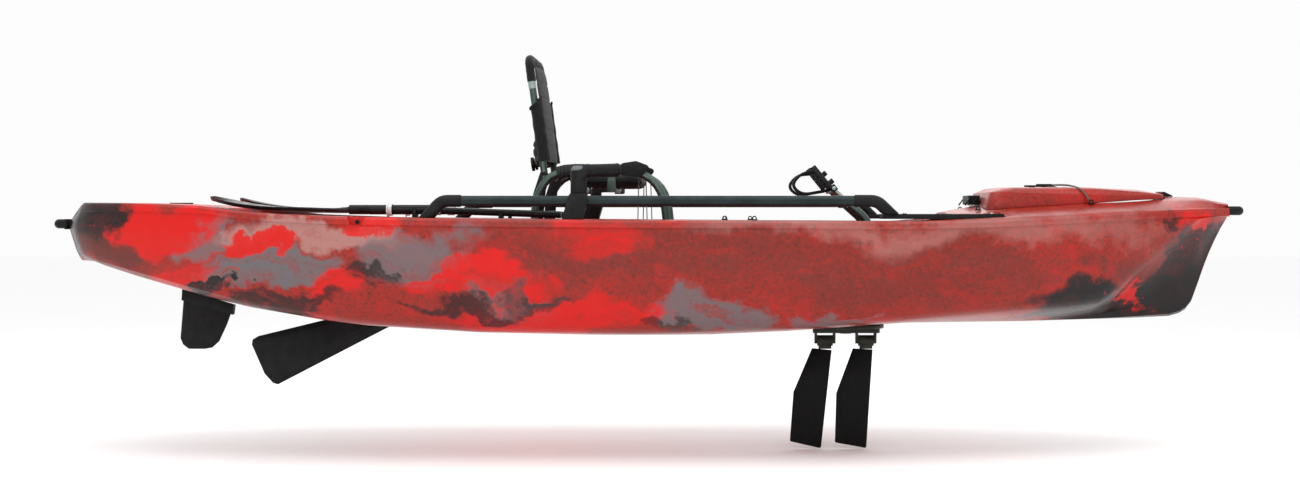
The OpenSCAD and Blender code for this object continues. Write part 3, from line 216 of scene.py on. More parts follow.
def start_finish(slot_name, **plain):
    """A material with its Principled shader; plain values are set on the shader's own sockets."""
    material = bpy.data.materials.new(slot_name)
    material.use_nodes = True
    tree = material.node_tree
    shader = tree.nodes["Principled BSDF"]
    for key, value in plain.items():
        shader.inputs[key.replace("_", " ")].default_value = value
    spot = place(tree, "ShaderNodeTexCoord").outputs["Object"]
    return material, tree, shader, spot


def bump(tree, shader, height, distance, strength=0.6):
    node = place(tree, "ShaderNodeBump")
    node.inputs["Strength"].default_value = strength
    node.inputs["Distance"].default_value = distance
    tree.links.new(height, node.inputs["Height"])
    tree.links.new(node.outputs[0], shader.inputs["Normal"])


# The pale third tone on this line is not a powder: it is the colour of painted highlights, the sheen of light
# along the upper sides
HULL_CHARCOAL, HULL_GREY, HULL_PAINTED_HIGHLIGHT = linear(20, 20, 21), linear(100, 98, 101), linear(172, 128, 122)
HULL_BRIGHT, HULL_GROUND, HULL_DEEP = linear(204, 11, 4), linear(158, 34, 23), linear(92, 38, 31)
finishes = {}
hull_finish, tree, shader, spot = start_finish("moulded_hull", Coat_Weight=0.06, Coat_Roughness=0.22,
                                               Specular_IOR_Level=0.24)


def stirred_by(scale, detail, reach):
    """A swirl that pushes colour about, up to reach along each axis."""
    swirl = place(tree, "ShaderNodeTexNoise", _0=spot, _2=scale, _3=detail, _4=0.6).outputs[1]
    swirl = place(tree, "ShaderNodeVectorMath", operation="SUBTRACT", _0=swirl, _1=(0.5, 0.5, 0.5)).outputs[0]
    return place(tree, "ShaderNodeVectorMath", operation="MULTIPLY", _0=swirl, _1=reach).outputs[0]


drift, ragged = stirred_by(2.6, 5.0, (0.8, 0.3, 0.42)), stirred_by(17.0, 4.0, (0.16, 0.05, 0.07))
stirred = place(tree, "ShaderNodeVectorMath", operation="ADD", _0=drift, _1=ragged).outputs[0]
stirred = place(tree, "ShaderNodeVectorMath", operation="ADD", _0=spot, _1=stirred).outputs[0]
mottle = noise_value(tree, spot, 95.0, 6.0, 0.75)
speck = noise_value(tree, spot, 420.0, 3.0, 0.7)
colour = blend_colour(tree, ramp(tree, mottle, 0.3, 0.58), HULL_DEEP, HULL_GROUND)
colour = blend_colour(tree, ramp(tree, speck, 0.58, 0.7, 0.0, 0.32), colour, HULL_CHARCOAL)
wisps = ramp(tree, noise_value(tree, stirred, 5.0, 4.0), 0.5, 0.7, 0.0, 0.5)
colour = blend_colour(tree, wisps, colour, HULL_BRIGHT)
stretched = place(tree, "ShaderNodeMapping", _0=stirred, _3=(2.2, 3.0, 9.0)).outputs[0]
streaks = noise_value(tree, stretched, 2.0, 6.0, 0.62, 0.9)
# Each pour, and each painted highlight: colour, middle along the boat and up, half length, half height, edge,
# weight, evenness
for tone, x, z, long, high, edge, weight, even in (
        # Two pale painted highlights under the gunwale towards the bow: the sheen of light on the upper side
        (HULL_PAINTED_HIGHLIGHT, 0.95, 0.335, 0.50, 0.045, 0.9, 0.42, 0.8),
        (HULL_PAINTED_HIGHLIGHT, 0.42, 0.345, 0.18, 0.03, 0.9, 0.32, 0.7),
        (HULL_DEEP, 0.85, 0.20, 0.42, 0.10, 0.6, 0.5, 0.4),
        (HULL_DEEP, 0.02, 0.26, 0.46, 0.11, 0.5, 0.55, 0.3),
        (HULL_GREY, -1.28, 0.31, 0.10, 0.07, 0.45, 0.8, 0.5),
        (HULL_GREY, -1.08, 0.20, 0.13, 0.06, 0.3, 0.9, 0.6),
        # A pale painted highlight high on the side towards the stern
        (HULL_PAINTED_HIGHLIGHT, -0.98, 0.315, 0.26, 0.045, 0.5, 0.75, 0.7),
        (HULL_GREY, -1.22, 0.17, 0.10, 0.06, 0.4, 0.8, 0.3),
        (HULL_GREY, -0.66, 0.25, 0.22, 0.09, 0.4, 0.85, 0.5),
        (HULL_GREY, -0.42, 0.10, 0.16, 0.045, 0.35, 0.8, 0.3),
        (HULL_GREY, 0.22, 0.07, 0.19, 0.06, 0.4, 0.85, 0.4),
        (HULL_GREY, 0.62, 0.05, 0.10, 0.035, 0.4, 0.7, 0.3),
        (HULL_BRIGHT, -1.48, 0.35, 0.20, 0.08, 0.4, 1.0, 0.8),
        (HULL_BRIGHT, -1.38, 0.18, 0.13, 0.035, 0.5, 0.8, 0.3),
        (HULL_BRIGHT, -1.16, 0.27, 0.07, 0.045, 0.3, 0.95, 0.6),
        (HULL_BRIGHT, -0.93, 0.13, 0.10, 0.07, 0.35, 0.95, 0.5),
        (HULL_BRIGHT, -0.84, 0.36, 0.09, 0.04, 0.3, 0.9, 0.5),
        (HULL_BRIGHT, -0.50, 0.17, 0.22, 0.05, 0.35, 1.0, 0.5),
        (HULL_BRIGHT, -0.12, 0.32, 0.13, 0.07, 0.5, 0.85, 0.4),
        (HULL_BRIGHT, -0.30, 0.05, 0.36, 0.06, 0.4, 0.95, 0.5),
        (HULL_BRIGHT, 0.02, 0.03, 0.10, 0.04, 0.4, 0.8, 0.3),
        (HULL_CHARCOAL, -1.80, 0.34, 0.20, 0.12, 0.22, 1.0, 0.9),
        (HULL_DEEP, -1.62, 0.25, 0.16, 0.05, 0.5, 0.9, 0.4),
        (HULL_CHARCOAL, -1.29, 0.125, 0.08, 0.025, 0.25, 1.0, 0.8),
        (HULL_CHARCOAL, -1.10, 0.07, 0.20, 0.03, 0.45, 0.85, 0.5),
        (HULL_CHARCOAL, -0.83, 0.19, 0.11, 0.04, 0.4, 0.85, 0.3),
        (HULL_CHARCOAL, -0.56, 0.085, 0.13, 0.03, 0.35, 0.85, 0.3),
        (HULL_CHARCOAL, -0.36, 0.115, 0.12, 0.02, 0.4, 0.75, 0.2),
        (HULL_CHARCOAL, 0.08, 0.02, 0.09, 0.025, 0.4, 0.7, 0.2),
        (HULL_DEEP, 1.50, 0.22, 0.14, 0.08, 0.6, 0.7, 0.4),
        (HULL_CHARCOAL, 1.58, 0.08, 0.36, 0.11, 0.25, 1.0, 0.92),
        (HULL_CHARCOAL, 1.74, 0.20, 0.17, 0.16, 0.3, 0.95, 0.85),
        (HULL_CHARCOAL, 1.58, 0.36, 0.07, 0.035, 0.35, 0.8, 0.3),
        (HULL_BRIGHT, 1.71, 0.36, 0.08, 0.03, 0.4, 0.85, 0.5),
        (HULL_BRIGHT, 1.50, 0.165, 0.04, 0.05, 0.3, 0.95, 0.8)):
    mask = use(tree, pour_and_highlight_group, Place=stirred, Middle=(x, 0, z), Reach=(long, 9, high),
               Edge=edge * 0.6)["Mask"]
    mask = calc(tree, "MULTIPLY", mask, ramp(tree, streaks, 0.36, 0.52, weight * even, weight))
    colour = blend_colour(tree, mask, colour, tone)
flecks = ramp(tree, noise_value(tree, stirred, 22.0, 5.0, 0.7), 0.62, 0.68, 0.0, 0.5)
colour = blend_colour(tree, flecks, colour, HULL_BRIGHT)
colour = blend_colour(tree, ramp(tree, speck, 0.3, 0.44, 0.4, 0.0), colour, HULL_DEEP)
dust = use(tree, dust_group, Place=spot, Amount=0.08)["Mask"]
tree.links.new(blend_colour(tree, dust, colour, linear(150, 120, 110)), shader.inputs["Base Color"])
tree.links.new(ramp(tree, mottle, 0.3, 0.7, 0.27, 0.40), shader.inputs["Roughness"])
bump(tree, shader, use(tree, grain_group, Place=spot, Scale=520.0)["Height"], 0.0006, 0.35)
finishes["moulded_hull"] = hull_finish

body_of = {n: body for body, members in record["behaviour"]["bodies"].items() for n in members}
slot_of = {part["node"]: part["material_slot"] for part in record["subparts"]}


def fit_out(piece, node, replaced=True, material=None):
    """Gives a piece the finish and the body of the node that it stands for."""
    piece.data.materials.clear()
    piece.data.materials.append(material or finishes[slot_of[node]])
    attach(piece, body_of[node])
    if replaced:
        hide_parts(node)
    return piece


def set_edges(mesh, crease):
    """Rounds the shading of every edge flatter than the crease angle."""
    work = bmesh.new()
    work.from_mesh(mesh)
    for face in work.faces:
        face.smooth = True
    for edge in work.edges:
        edge.smooth = len(edge.link_faces) == 2 and edge.calc_face_angle(0.0) < crease
    work.to_mesh(mesh)
    work.free()


def apply_modifiers(piece):
    depsgraph = bpy.context.evaluated_depsgraph_get()
    mesh = bpy.data.meshes.new_from_object(piece.evaluated_get(depsgraph))
    piece.modifiers.clear()
    piece.data = mesh


def moulded(node, name, corner=0.0015, crease=38):
    """A node's shape with its points joined, its corners eased and its curves shaded round."""
    work = bmesh.new()
    work.from_mesh(frame["nodes"][node].data)
    bmesh.ops.remove_doubles(work, verts=work.verts, dist=2e-5)
    bmesh.ops.dissolve_limit(work, angle_limit=math.radians(0.6), verts=work.verts, edges=work.edges)
    mesh = bpy.data.meshes.new(name)
    work.to_mesh(mesh)
    work.free()
    piece = new_piece(name, mesh)
    if corner:
        ease = piece.modifiers.new("eased", "BEVEL")
        ease.width, ease.segments, ease.limit_method = corner, 2, "ANGLE"
        ease.angle_limit, ease.miter_outer = math.radians(crease), "MITER_ARC"
        apply_modifiers(piece)
    set_edges(piece.data, math.radians(crease))
    return fit_out(piece, node)


moulded("hull_shell", "hull_moulding", 0, 30)
moulded("hatch_lid", "bow_lid", 0.004, 34)


# ---------------------------------------------------------------- black mouldings
# Injection-moulded glass-filled nylon and polyethylene: near black, matt, with a pebble
# and paler rubbed patches. Every fitting has eased corners.
def paler(tone, times, more):
    """A worn or faded shade of a tone."""
    return [min(1, c * times + more) for c in tone[:3]] + [1]


def moulding_finish(slot_name, tone, rough=0.5, grain=1100.0, depth=0.0003):
    material, tree, shader, spot = start_finish(slot_name, Specular_IOR_Level=0.17)
    cloudy = noise_value(tree, spot, 24.0, 5.0, 0.6)
    rubbed = blend_colour(tree, ramp(tree, cloudy, 0.35, 0.7), tone, paler(tone, 1.8, 0.004))
    dust = use(tree, dust_group, Place=spot, Amount=0.07)["Mask"]
    tree.links.new(blend_colour(tree, dust, rubbed, linear(84, 83, 80)), shader.inputs["Base Color"])
    tree.links.new(ramp(tree, cloudy, 0.3, 0.7, rough - 0.08, rough + 0.1), shader.inputs["Roughness"])
    bump(tree, shader, use(tree, grain_group, Place=spot, Scale=grain)["Height"], depth, 0.4)
    finishes[slot_name] = material


moulding_finish("black_moulding", linear(13, 13, 14))
moulding_finish("drive_housing", linear(34, 34, 28), 0.42)
moulding_finish("grip_cap", linear(84, 88, 92), 0.4)
moulding_finish("pedal_plastic", linear(17, 17, 18), 0.5)
moulding_finish("paddle_blade", linear(34, 33, 33), 0.34, 1500.0, 0.0001)
moulding_finish("paddle_tube", linear(14, 14, 15), 0.24, 2500.0, 0.00005)
moulding_finish("paddle_band", linear(204, 204, 202), 0.3, 2000.0, 0.0001)
for node, name, corner in (
        ("rail_ends", "rail_end_elbows", 0.003), ("mounting_boards", "accessory_boards", 0.002),
        ("bow_handle", "bow_grab", 0.003), ("stern_handle", "stern_grab", 0.003),
        ("hatch_hinge", "lid_hinge", 0.001), ("deck_fittings", "deck_eyelets", 0.0008),
        ("paddle_clips", "paddle_cradles", 0.0015), ("rudder_tube", "rudder_sleeve", 0.001),
        ("stern_hatch_ring", "stern_port_ring", 0.0015), ("stern_hatch_cover", "stern_port_cover", 0.0015),
        ("drive_well_ring", "drive_well_trim", 0.0015), ("hatch_latch", "lid_latch", 0.003),
        ("hatch_cleat", "lid_cleats", 0.0012),
        ("steering_base_right", "steering_foot_right", 0.003),
        ("steering_base_left", "steering_foot_left", 0.003),
        ("steering_grip", "steering_handle_grip", 0.0015),
        ("steering_grip_cap", "steering_handle_cap", 0.002),
        ("rudder_lever", "rudder_thumb_lever", 0.0015), ("seat_feet", "seat_sockets", 0.0015),
        ("seat_corner_caps", "arm_end_caps", 0.002), ("recline_brackets", "recline_plates", 0.0015),
        ("lumbar_dial", "lumbar_knob_dial", 0.0012),
        ("rudder_stock", "rudder_head_casting", 0.002), ("rudder_blade", "rudder_foil", 0.002),
        ("skeg_blade", "skeg_foil", 0.003)):
    moulded(node, name, corner)


# ---------------------------------------------------------------- metal tubes and fasteners
# Anodised aluminium tube for the rails, seat and cranks, and brushed stainless pins and screws.
# Fine draw lines run along each tube, and the dye is a little uneven.
def metal_finish(slot_name, tone, rough, lines, metallic=1.0, grain=0.00012):
    material, tree, shader, spot = start_finish(slot_name, Metallic=metallic)
    drawn = noise_value(tree, place(tree, "ShaderNodeMapping", _0=spot, _3=lines).outputs[0], 1.0, 4.0, 0.6)
    uneven = noise_value(tree, spot, 9.0, 4.0)
    worn = blend_colour(tree, ramp(tree, uneven, 0.3, 0.72), tone, paler(tone, 1.5, 0.01))
    dust = use(tree, dust_group, Place=spot, Amount=0.08)["Mask"]
    tree.links.new(blend_colour(tree, dust, worn, linear(150, 150, 146)), shader.inputs["Base Color"])
    tree.links.new(ramp(tree, drawn, 0.3, 0.7, rough - 0.07, rough + 0.08), shader.inputs["Roughness"])
    bump(tree, shader, drawn, grain, 0.25)
    finishes[slot_name] = material


metal_finish("rail_alloy", linear(13, 27, 29), 0.34, (12, 900, 900), 0.6)
metal_finish("seat_tube", linear(62, 76, 70), 0.36, (500, 500, 30), 0.8)
metal_finish("crank_alloy", linear(58, 70, 66), 0.36, (500, 500, 40), 0.8)
metal_finish("post_alloy", linear(140, 152, 147), 0.28, (700, 700, 60))
metal_finish("steel_fastener", linear(190, 190, 188), 0.25, (900, 60, 900))
for node, name, corner, crease in (
        ("rails", "gunwale_rails", 0.0012, 20), ("seat_side_frames", "arm_hoops", 0.001, 38),
        ("seat_cross_tubes", "pan_tubes", 0.001, 38), ("back_frame", "backrest_hoop", 0.001, 38),
        ("crank_right", "crank_arm_right", 0.0012, 38), ("crank_left", "crank_arm_left", 0.0012, 38),
        ("crank_post_right", "pedal_post_right", 0.001, 38),
        ("crank_post_left", "pedal_post_left", 0.001, 38),
        ("crank_axle", "crank_spindle", 0.0008, 38), ("skeg_pin", "skeg_pivot", 0.0005, 38),
        ("board_screws", "board_bolts", 0.0006, 38)):
    moulded(node, name, corner, crease)

# ---------------------------------------------------------------- drive, pedals and fins
# A fibre-filled housing over a steerable turret, with two flexible fins that taper to a thin
# ribbed trailing edge, and flat foot plates with raised treads and webbing loops.
rubber, tree, shader, spot = start_finish("fin_rubber", Specular_IOR_Level=0.12)
ribs = place(tree, "ShaderNodeTexWave", bands_direction="X", _0=spot, _1=22.0, _2=0.6, _3=2.0).outputs[1]
cloud = noise_value(tree, spot, 30.0, 5.0, 0.6)
tree.links.new(blend_colour(tree, ramp(tree, cloud, 0.3, 0.75), linear(6, 6, 6), linear(13, 13, 14)),
               shader.inputs["Base Color"])
tree.links.new(ramp(tree, cloud, 0.3, 0.7, 0.42, 0.6), shader.inputs["Roughness"])
bump(tree, shader, calc(tree, "ADD", ribs, calc(tree, "MULTIPLY", cloud, 0.3)), 0.0012, 0.5)
finishes["fin_rubber"] = rubber
for node, name, corner in (
        ("drive_column", "drive_plug", 0.003), ("drive_head", "drive_case", 0.005),
        ("turret", "turret_plate", 0.002), ("lower_housing", "fin_housing", 0.002),
        ("front_fin_hub", "front_fin_boss", 0.0015), ("rear_fin_hub", "rear_fin_boss", 0.0015),
        ("front_fin", "front_fin_blade", 0.001), ("rear_fin", "rear_fin_blade", 0.001),
        ("pedal_right", "foot_plate_right", 0.0015), ("pedal_left", "foot_plate_left", 0.0015),
        ("paddle_blades", "paddle_spoons", 0.0008), ("paddle_shafts", "paddle_tubes", 0.0008),
        ("paddle_rings", "paddle_collars", 0.001)):
    moulded(node, name, corner)

# ---------------------------------------------------------------- deck mats and arm pads
# Closed-cell foam with cut grooves on the cockpit floor, their insides painted dark as painted shade, and
# foam sleeves on the arm tubes.
foam, tree, shader, spot = start_finish("deck_foam", Specular_IOR_Level=0.25)
grooves = place(tree, "ShaderNodeTexWave", bands_direction="X", wave_profile="SAW",
                _0=spot, _1=28.0, _2=0.0).outputs[1]
groove = ramp(tree, grooves, 0.78, 0.92, 1.0, 0.0)
pores = use(tree, grain_group, Place=spot, Scale=700.0)["Height"]
cloud = noise_value(tree, spot, 18.0, 5.0, 0.6)
top_skin = blend_colour(tree, ramp(tree, cloud, 0.3, 0.7), linear(30, 30, 30), linear(44, 44, 44))
# Near black in the grooves: painted shade in the recesses, over the lighter top skin
tree.links.new(blend_colour(tree, groove, linear(10, 10, 10), top_skin), shader.inputs["Base Color"])
tree.links.new(ramp(tree, cloud, 0.3, 0.7, 0.72, 0.88), shader.inputs["Roughness"])
bump(tree, shader, calc(tree, "ADD", groove, calc(tree, "MULTIPLY", pores, 0.25)), 0.0015, 0.7)
finishes["deck_foam"] = foam
moulded("deck_mats", "cockpit_mats", 0.0015)


ARM_TUBE_Y, ARM_TUBE_Z, PAD_CORE_R = 0.235, 0.509, 0.016


def ringed(piece, first, last, pitch, depth):
    """Cuts shallow rings round a foam sleeve between two stations along the boat."""
    work = bmesh.new()
    work.from_mesh(piece.data)
    x = first
    while x < last:
        for at in (x, x + pitch * 0.3, x + pitch * 0.6):
            bmesh.ops.bisect_plane(work, geom=work.verts[:] + work.edges[:] + work.faces[:],
                                   plane_co=(at, 0, 0), plane_no=(1, 0, 0))
        x += pitch
    for vertex in work.verts:
        place_in_ring = ((vertex.co.x - first) / pitch) % 1
        if first <= vertex.co.x <= last and 0.28 < place_in_ring < 0.32:
            centre = Vector((vertex.co.x, math.copysign(ARM_TUBE_Y, vertex.co.y), ARM_TUBE_Z))
            if (vertex.co - centre).length > PAD_CORE_R:
                vertex.co += (centre - vertex.co).normalized() * depth
    work.to_mesh(piece.data)
    work.free()


arm_pads = moulded("arm_sleeves", "arm_pads", 0.002)
ringed(arm_pads, -0.19, -0.095, 0.0095, 0.0022)
set_edges(arm_pads.data, math.radians(38))


# ---------------------------------------------------------------- cloth, webbing and foot loops
# Black mesh, padded cloth, webbing and braided cord, each with its own weave. The foot loops are
# doubled webbing, riveted to each foot plate.
def cloth_finish(slot_name, tone, threads, depth, sheen=0.12, rough=0.85):
    material, tree, shader, spot = start_finish(slot_name, Sheen_Weight=sheen, Sheen_Roughness=0.5,
                                                Specular_IOR_Level=0.2)
    warp, weft = (place(tree, "ShaderNodeTexWave", bands_direction=way, _0=spot, _1=threads,
                        _2=0.4, _3=2.0).outputs[1] for way in ("Z", "Y"))
    weave = calc(tree, "MULTIPLY", warp, weft)
    fade = noise_value(tree, spot, 11.0, 4.0)
    woven = blend_colour(tree, weave, paler(tone, 0.35, 0), tone)
    faded = blend_colour(tree, ramp(tree, fade, 0.35, 0.75, 0.0, 0.4), woven, paler(tone, 2.2, 0.008))
    tree.links.new(faded, shader.inputs["Base Color"])
    tree.links.new(ramp(tree, fade, 0.3, 0.7, rough - 0.08, rough + 0.08), shader.inputs["Roughness"])
    bump(tree, shader, weave, depth, 0.8)
    finishes[slot_name] = material


cloth_finish("seat_mesh", linear(26, 26, 27), 95.0, 0.0009)
cloth_finish("pad_fabric", linear(24, 24, 25), 190.0, 0.0005)
cloth_finish("strap_webbing", linear(20, 20, 21), 150.0, 0.0006)
cloth_finish("cord", linear(120, 116, 114), 240.0, 0.0005)


def thicken(piece, by):
    """Moves every face of a piece outward, as a doubled and padded webbing."""
    work = bmesh.new()
    work.from_mesh(piece.data)
    bmesh.ops.subdivide_edges(work, edges=work.edges, cuts=1)
    work.normal_update()
    moves = [(vertex, vertex.normal.copy()) for vertex in work.verts]
    for vertex, normal in moves:
        vertex.co += normal * by
    work.to_mesh(piece.data)
    work.free()


for side in ("right", "left"):
    loop = moulded("pedal_strap_" + side, "foot_loop_" + side, 0.0004)
    thicken(loop, 0.003)
    set_edges(loop.data, math.radians(60))

# ---------------------------------------------------------------- stuffed seat pieces
# The seat pan and the lumbar pad are foam in a sewn cover: the cover is filled by a cloth
# simulation, then its sewn channels are pressed in.
def stuffed(node, name, inward, voxel, cap, pressure=4.0, steps=20):
    work = bmesh.new()
    work.from_mesh(frame["nodes"][node].data)
    bmesh.ops.remove_doubles(work, verts=work.verts, dist=2e-5)
    mesh = bpy.data.meshes.new(name)
    work.to_mesh(mesh)
    work.free()
    low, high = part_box(node)
    middle = (low + high) / 2
    for vertex in mesh.vertices:
        for axis in range(3):
            half = (high[axis] - low[axis]) / 2
            vertex.co[axis] = middle[axis] + (vertex.co[axis] - middle[axis]) * (half - inward) / half
    piece = new_piece(name, mesh)
    grid = piece.modifiers.new("even", "REMESH")
    grid.mode, grid.voxel_size = "VOXEL", voxel
    apply_modifiers(piece)
    rest = np.array([v.co for v in piece.data.vertices])
    cloth = piece.modifiers.new("fill", "CLOTH")
    cloth.settings.quality, cloth.settings.mass = 6, 0.3
    cloth.settings.use_pressure, cloth.settings.uniform_pressure_force = True, pressure
    cloth.settings.effector_weights.gravity = 0
    cloth.point_cache.frame_start, cloth.point_cache.frame_end = 1, steps
    for step in range(1, steps + 1):
        bpy.context.scene.frame_set(step)
    apply_modifiers(piece)
    moved = np.array([v.co for v in piece.data.vertices]) - rest
    length = np.linalg.norm(moved, axis=1, keepdims=True)
    moved *= np.minimum(1, cap / np.maximum(length, 1e-9))
    piece.data.vertices.foreach_set("co", (rest + moved).ravel())
    bpy.context.scene.frame_set(1)
    even = piece.modifiers.new("even_out", "SMOOTH")
    even.iterations, even.factor = 4, 0.5
    apply_modifiers(piece)
    return piece


def press_channels(piece, axis, lines, face_axis, depth, width):
    """Presses a sewn channel into both faces along each line across an axis."""
    count = len(piece.data.vertices)
    points = np.empty(count * 3)
    piece.data.vertices.foreach_get("co", points)
    points = points.reshape(-1, 3)
    middle = points[:, face_axis].mean()
    press = sum(np.exp(-((points[:, axis] - line) / width) ** 2) for line in lines)
    points[:, face_axis] -= np.sign(points[:, face_axis] - middle) * np.minimum(press, 1) * np.minimum(
        depth, np.abs(points[:, face_axis] - middle) * 0.6)
    piece.data.vertices.foreach_set("co", points.ravel())


seat_pad = stuffed("seat_pan", "seat_pad", 0.006, 0.006, 0.012)
pan_low, pan_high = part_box("seat_pan")
press_channels(seat_pad, 1, [pan_low.y * 0.36, pan_high.y * 0.36], 2, 0.006, 0.006)
press_channels(seat_pad, 0, [pan_low.x + 0.11, pan_low.x + 0.22], 2, 0.006, 0.006)
set_edges(seat_pad.data, math.radians(80))
fit_out(seat_pad, "seat_pan")

lumbar = stuffed("lumbar_pad", "lumbar_cushion", 0.005, 0.005, 0.008)
pad_low, pad_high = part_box("lumbar_pad")
press_channels(lumbar, 2, [pad_low.z + (pad_high.z - pad_low.z) * t for t in (0.33, 0.67)], 0, 0.005, 0.005)
set_edges(lumbar.data, math.radians(80))
fit_out(lumbar, "lumbar_pad")

# ---------------------------------------------------------------- backrest panel
# Stretched mesh with a thin spacer core: bowed forward between the hoop's tubes, pulled in at
# its waist, with sewn ribs across it, rolled side hems and a cloth sleeve over the hoop's top.
lean = math.radians(-7.8)
hinge = Vector((-0.312, 0, 0.489))
leaned = Matrix.Translation(hinge) @ Matrix.Rotation(lean, 4, "Y")
PANEL_LOW, PANEL_HIGH, PANEL_HALF = 0.046, 0.342, 0.176


def panel_point(u, v, side):
    """u across from -1 to 1, v up from 0 to 1; side is 1 for the front face and -1 for the back."""
    half = PANEL_HALF * (0.97 - 0.05 * math.sin(math.pi * v))
    z = PANEL_LOW + (PANEL_HIGH - PANEL_LOW) * v
    bow = 0.0135 + 0.011 * (1 - u * u) * (0.7 + 0.3 * math.sin(math.pi * v))
    thick = 0.0042 * (1 - abs(u) ** 8) * (1 - abs(2 * v - 1) ** 14) + 0.0006
    ribs = sum(math.exp(-((z - PANEL_LOW - line) / 0.004) ** 2) for line in (0.05, 0.10, 0.15, 0.20, 0.25))
    hem = math.exp(-((abs(u) - 0.93) / 0.03) ** 2)
    return Vector((bow + side * (thick - 0.0016 * min(1, ribs) + 0.0012 * hem), u * half, z))


def closed_panel(name, point, across, up):
    """Two faces of a panel, joined round their rims."""
    points, faces = [], []
    for side in (1, -1):
        for j in range(up + 1):
            for i in range(across + 1):
                points.append(leaned @ point(-1 + 2 * i / across, j / up, side))
    row, back = across + 1, (across + 1) * (up + 1)
    for j in range(up):
        for i in range(across):
            a = j * row + i
            faces.append((a, a + 1, a + row + 1, a + row))
            faces.append((back + a, back + a + row, back + a + row + 1, back + a + 1))
    rim = ([i for i in range(row)] + [j * row + across for j in range(1, up + 1)]
           + [up * row + i for i in range(across - 1, -1, -1)] + [j * row for j in range(up - 1, 0, -1)])
    for a, b in zip(rim, rim[1:] + rim[:1]):
        faces.append((a, back + a, back + b, b))
    mesh = bpy.data.meshes.new(name)
    mesh.from_pydata(points, [], faces)
    mesh.validate()
    return new_piece(name, mesh)


back_panel = closed_panel("backrest_mesh", panel_point, 56, 90)
set_edges(back_panel.data, math.radians(70))
fit_out(back_panel, "back_mesh")


def wound(name, path, radius, sides=16, ridges=0, pitch=0.01, swell=0.0):
    """A tube along a path; ridges wind round it like a braid."""
    points, faces, travelled = [], [], 0.0
    for i, p in enumerate(path):
        ahead = (path[min(i + 1, len(path) - 1)] - path[max(i - 1, 0)]).normalized()
        side = ahead.cross(Vector((0.12, 0.2, 1))).normalized()
        over = side.cross(ahead)
        travelled += (p - path[i - 1]).length if i else 0
        for k in range(sides):
            angle = 2 * math.pi * k / sides
            r = radius * (1 + swell * math.cos(ridges * angle + 2 * math.pi * travelled / pitch))
            points.append(p + side * r * math.cos(angle) + over * r * math.sin(angle))
    for i in range(len(path) - 1):
        for k in range(sides):
            j = (k + 1) % sides
            faces.append((i * sides + k, i * sides + j, (i + 1) * sides + j, (i + 1) * sides + k))
    faces += [tuple(range(sides - 1, -1, -1)), tuple((len(path) - 1) * sides + k for k in range(sides))]
    mesh = bpy.data.meshes.new(name)
    mesh.from_pydata(points, [], faces)
    mesh.validate()
    set_edges(mesh, math.radians(60))
    return new_piece(name, mesh)


def eased_path(corners, setback, steps=8):
    """Corner points joined by short curves."""
    path = [Vector(corners[0])]
    for back, at, on in zip(corners, corners[1:], corners[2:]):
        back, at, on = Vector(back), Vector(at), Vector(on)
        a = at + (back - at).normalized() * min(setback, (back - at).length * 0.48)
        b = at + (on - at).normalized() * min(setback, (on - at).length * 0.48)
        path += [a.lerp(at, t / steps).lerp(at.lerp(b, t / steps), t / steps) for t in range(steps + 1)]
    return path + [Vector(corners[-1])]


def fine_path(path, step):
    """The same path with points every step."""
    fine = []
    for a, b in zip(path, path[1:]):
        count = max(1, round((b - a).length / step))
        fine += [a.lerp(b, i / count) for i in range(count)]
    return fine + [path[-1]]


HOOP_HALF, HOOP_TOP = 0.1905, 0.368
SLEEVE_DROP, BAND_LONG = 0.072, 0.022
sleeve_line = eased_path([(0, -HOOP_HALF, HOOP_TOP - SLEEVE_DROP), (0, -HOOP_HALF, HOOP_TOP),
                          (0, HOOP_HALF, HOOP_TOP), (0, HOOP_HALF, HOOP_TOP - SLEEVE_DROP)], 0.06)
sleeve_line = [leaned @ p for p in fine_path(sleeve_line, 0.006)]
sleeve = wound("backrest_sleeve", sleeve_line, 0.0135, 20, 2, 0.03, 0.02)
fit_out(sleeve, "back_mesh", replaced=False, material=finishes["pad_fabric"])

# Polished bands where the sleeve ends, a cloth flank that wraps each tube below, and a strap
# that ties the top of each flank.
FLANK_TOP = 0.232


def flank(name, side):
    """A wrapped side of the panel, round the hoop's tube and the panel's edge."""
    points, faces, rows, around = [], [], 44, 28
    for j in range(rows + 1):
        t = j / rows
        slope = 0.02 * max(0, t - 0.8) / 0.2
        for k in range(around):
            angle = 2 * math.pi * k / around
            pull = 1 + 0.035 * math.sin(23 * t + 2 * angle) * math.sin(math.pi * t)
            x = 0.0045 + 0.0195 * math.cos(angle) * pull
            y = side * (HOOP_HALF - 0.0035) + 0.0178 * math.sin(angle) * pull
            points.append(leaned @ Vector((x, y, 0.05 + (FLANK_TOP - 0.05) * t + slope * math.cos(angle))))
    for j in range(rows):
        for k in range(around):
            a, b = j * around + k, j * around + (k + 1) % around
            faces.append((a, b, b + around, a + around))
    faces += [tuple(range(around - 1, -1, -1)), tuple(rows * around + k for k in range(around))]
    mesh = bpy.data.meshes.new(name)
    mesh.from_pydata(points, [], faces)
    mesh.validate()
    set_edges(mesh, math.radians(60))
    return new_piece(name, mesh)


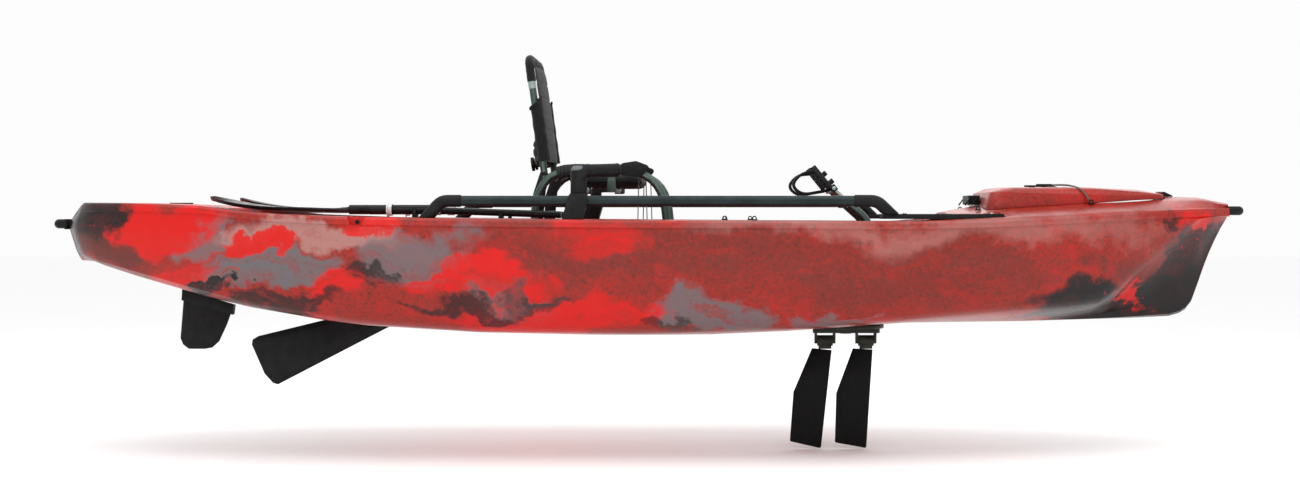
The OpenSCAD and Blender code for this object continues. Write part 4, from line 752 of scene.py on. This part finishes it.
band_top = HOOP_TOP - SLEEVE_DROP
band_line = [leaned @ Vector((0, -HOOP_HALF, band_top - BAND_LONG * t)) for t in (0, 0.3, 0.7, 1)]
for side, label in ((1, "right"), (-1, "left")):
    line = [Vector((p.x, p.y * side, p.z)) for p in band_line]
    fit_out(wound(f"hoop_band_{label}", line, 0.0122, 24), "crank_post_right", replaced=False)
    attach(bpy.data.objects[f"hoop_band_{label}"], "seat_back")
    wrap = fit_out(flank(f"back_flank_{label}", -side), "back_mesh", replaced=False,
                   material=finishes["pad_fabric"])
    loop = [(-0.0165, -HOOP_HALF + 0.006, 0.212), (-0.0155, -HOOP_HALF - 0.0135, 0.216),
            (0.004, -HOOP_HALF - 0.017, 0.226), (0.022, -HOOP_HALF - 0.004, 0.244),
            (0.024, -HOOP_HALF + 0.02, 0.248)]
    line = [leaned @ Vector(p) for p in eased_path(loop, 0.01)]
    line = [Vector((p.x, p.y * side, p.z)) for p in line]
    fit_out(wound(f"panel_tie_{label}", line, 0.0034, 12), "back_mesh", replaced=False,
            material=finishes["strap_webbing"])

# ---------------------------------------------------------------- elastic cords
# Thin light cords brace the seat pan to the deck, and a thicker one holds the lid's shoulder on
# each side. They are held at both ends, so they run straight under tension.
PAN_CORD_R, PAN_CORD_FOOT_Z = 0.0016, 0.1399
for number, (x_top, z_top, x_low) in enumerate(((-0.002, 0.474, 0.008), (-0.024, 0.48, -0.032))):
    for side, label in ((-1, "right"), (1, "left")):
        line = fine_path([Vector((x_top, side * 0.2125, z_top)),
                          Vector((x_low, side * 0.2105, PAN_CORD_FOOT_Z))], 0.004)
        fit_out(wound(f"pan_cord_{label}_{number}", line, PAN_CORD_R, 12, 3, 0.012, 0.14), "seat_cords")

# Lacing from the latch block's pegs down to the deck, two strands on each side of the lid's tail,
# and a stretched cord from each cleat over the lid's shoulder.
LACE_R, LACE_TOP_Z, LACE_LOW_Z = 0.0022, 0.4285, 0.4045
LACES = ((1.004, 0.986), (1.004, 1.018), (1.025, 1.008), (1.025, 1.042))
for side, label in ((-1, "right"), (1, "left")):
    for number, (x_top, x_low) in enumerate(LACES):
        line = fine_path([Vector((x_top, side * 0.0805, LACE_TOP_Z)),
                          Vector((x_low, side * 0.0825, LACE_LOW_Z))], 0.002)
        fit_out(wound(f"latch_lace_{label}_{number}", line, LACE_R, 10, 3, 0.012, 0.12), "hatch_bungee",
                replaced=False, material=finishes["strap_webbing"])
moulded("hatch_bungee", "lid_side_cords", 0, 70)

# ---------------------------------------------------------------- every other node
# Any node that no piece above stands for keeps its own shape and takes its slot's finish.
for node, shown in frame["nodes"].items():
    if not shown.hide_render:
        shown.data.materials.clear()
        shown.data.materials.append(finishes[slot_of[node]])

pale, tree, shader, spot = start_finish("pale_floor")
swept = blend_colour(tree, noise_value(tree, spot, 3.0), linear(250, 250, 250), linear(253, 253, 253))
tree.links.new(swept, shader.inputs["Base Color"])
shader.inputs["Roughness"].default_value = 0.9
floor.data.materials.append(pale)
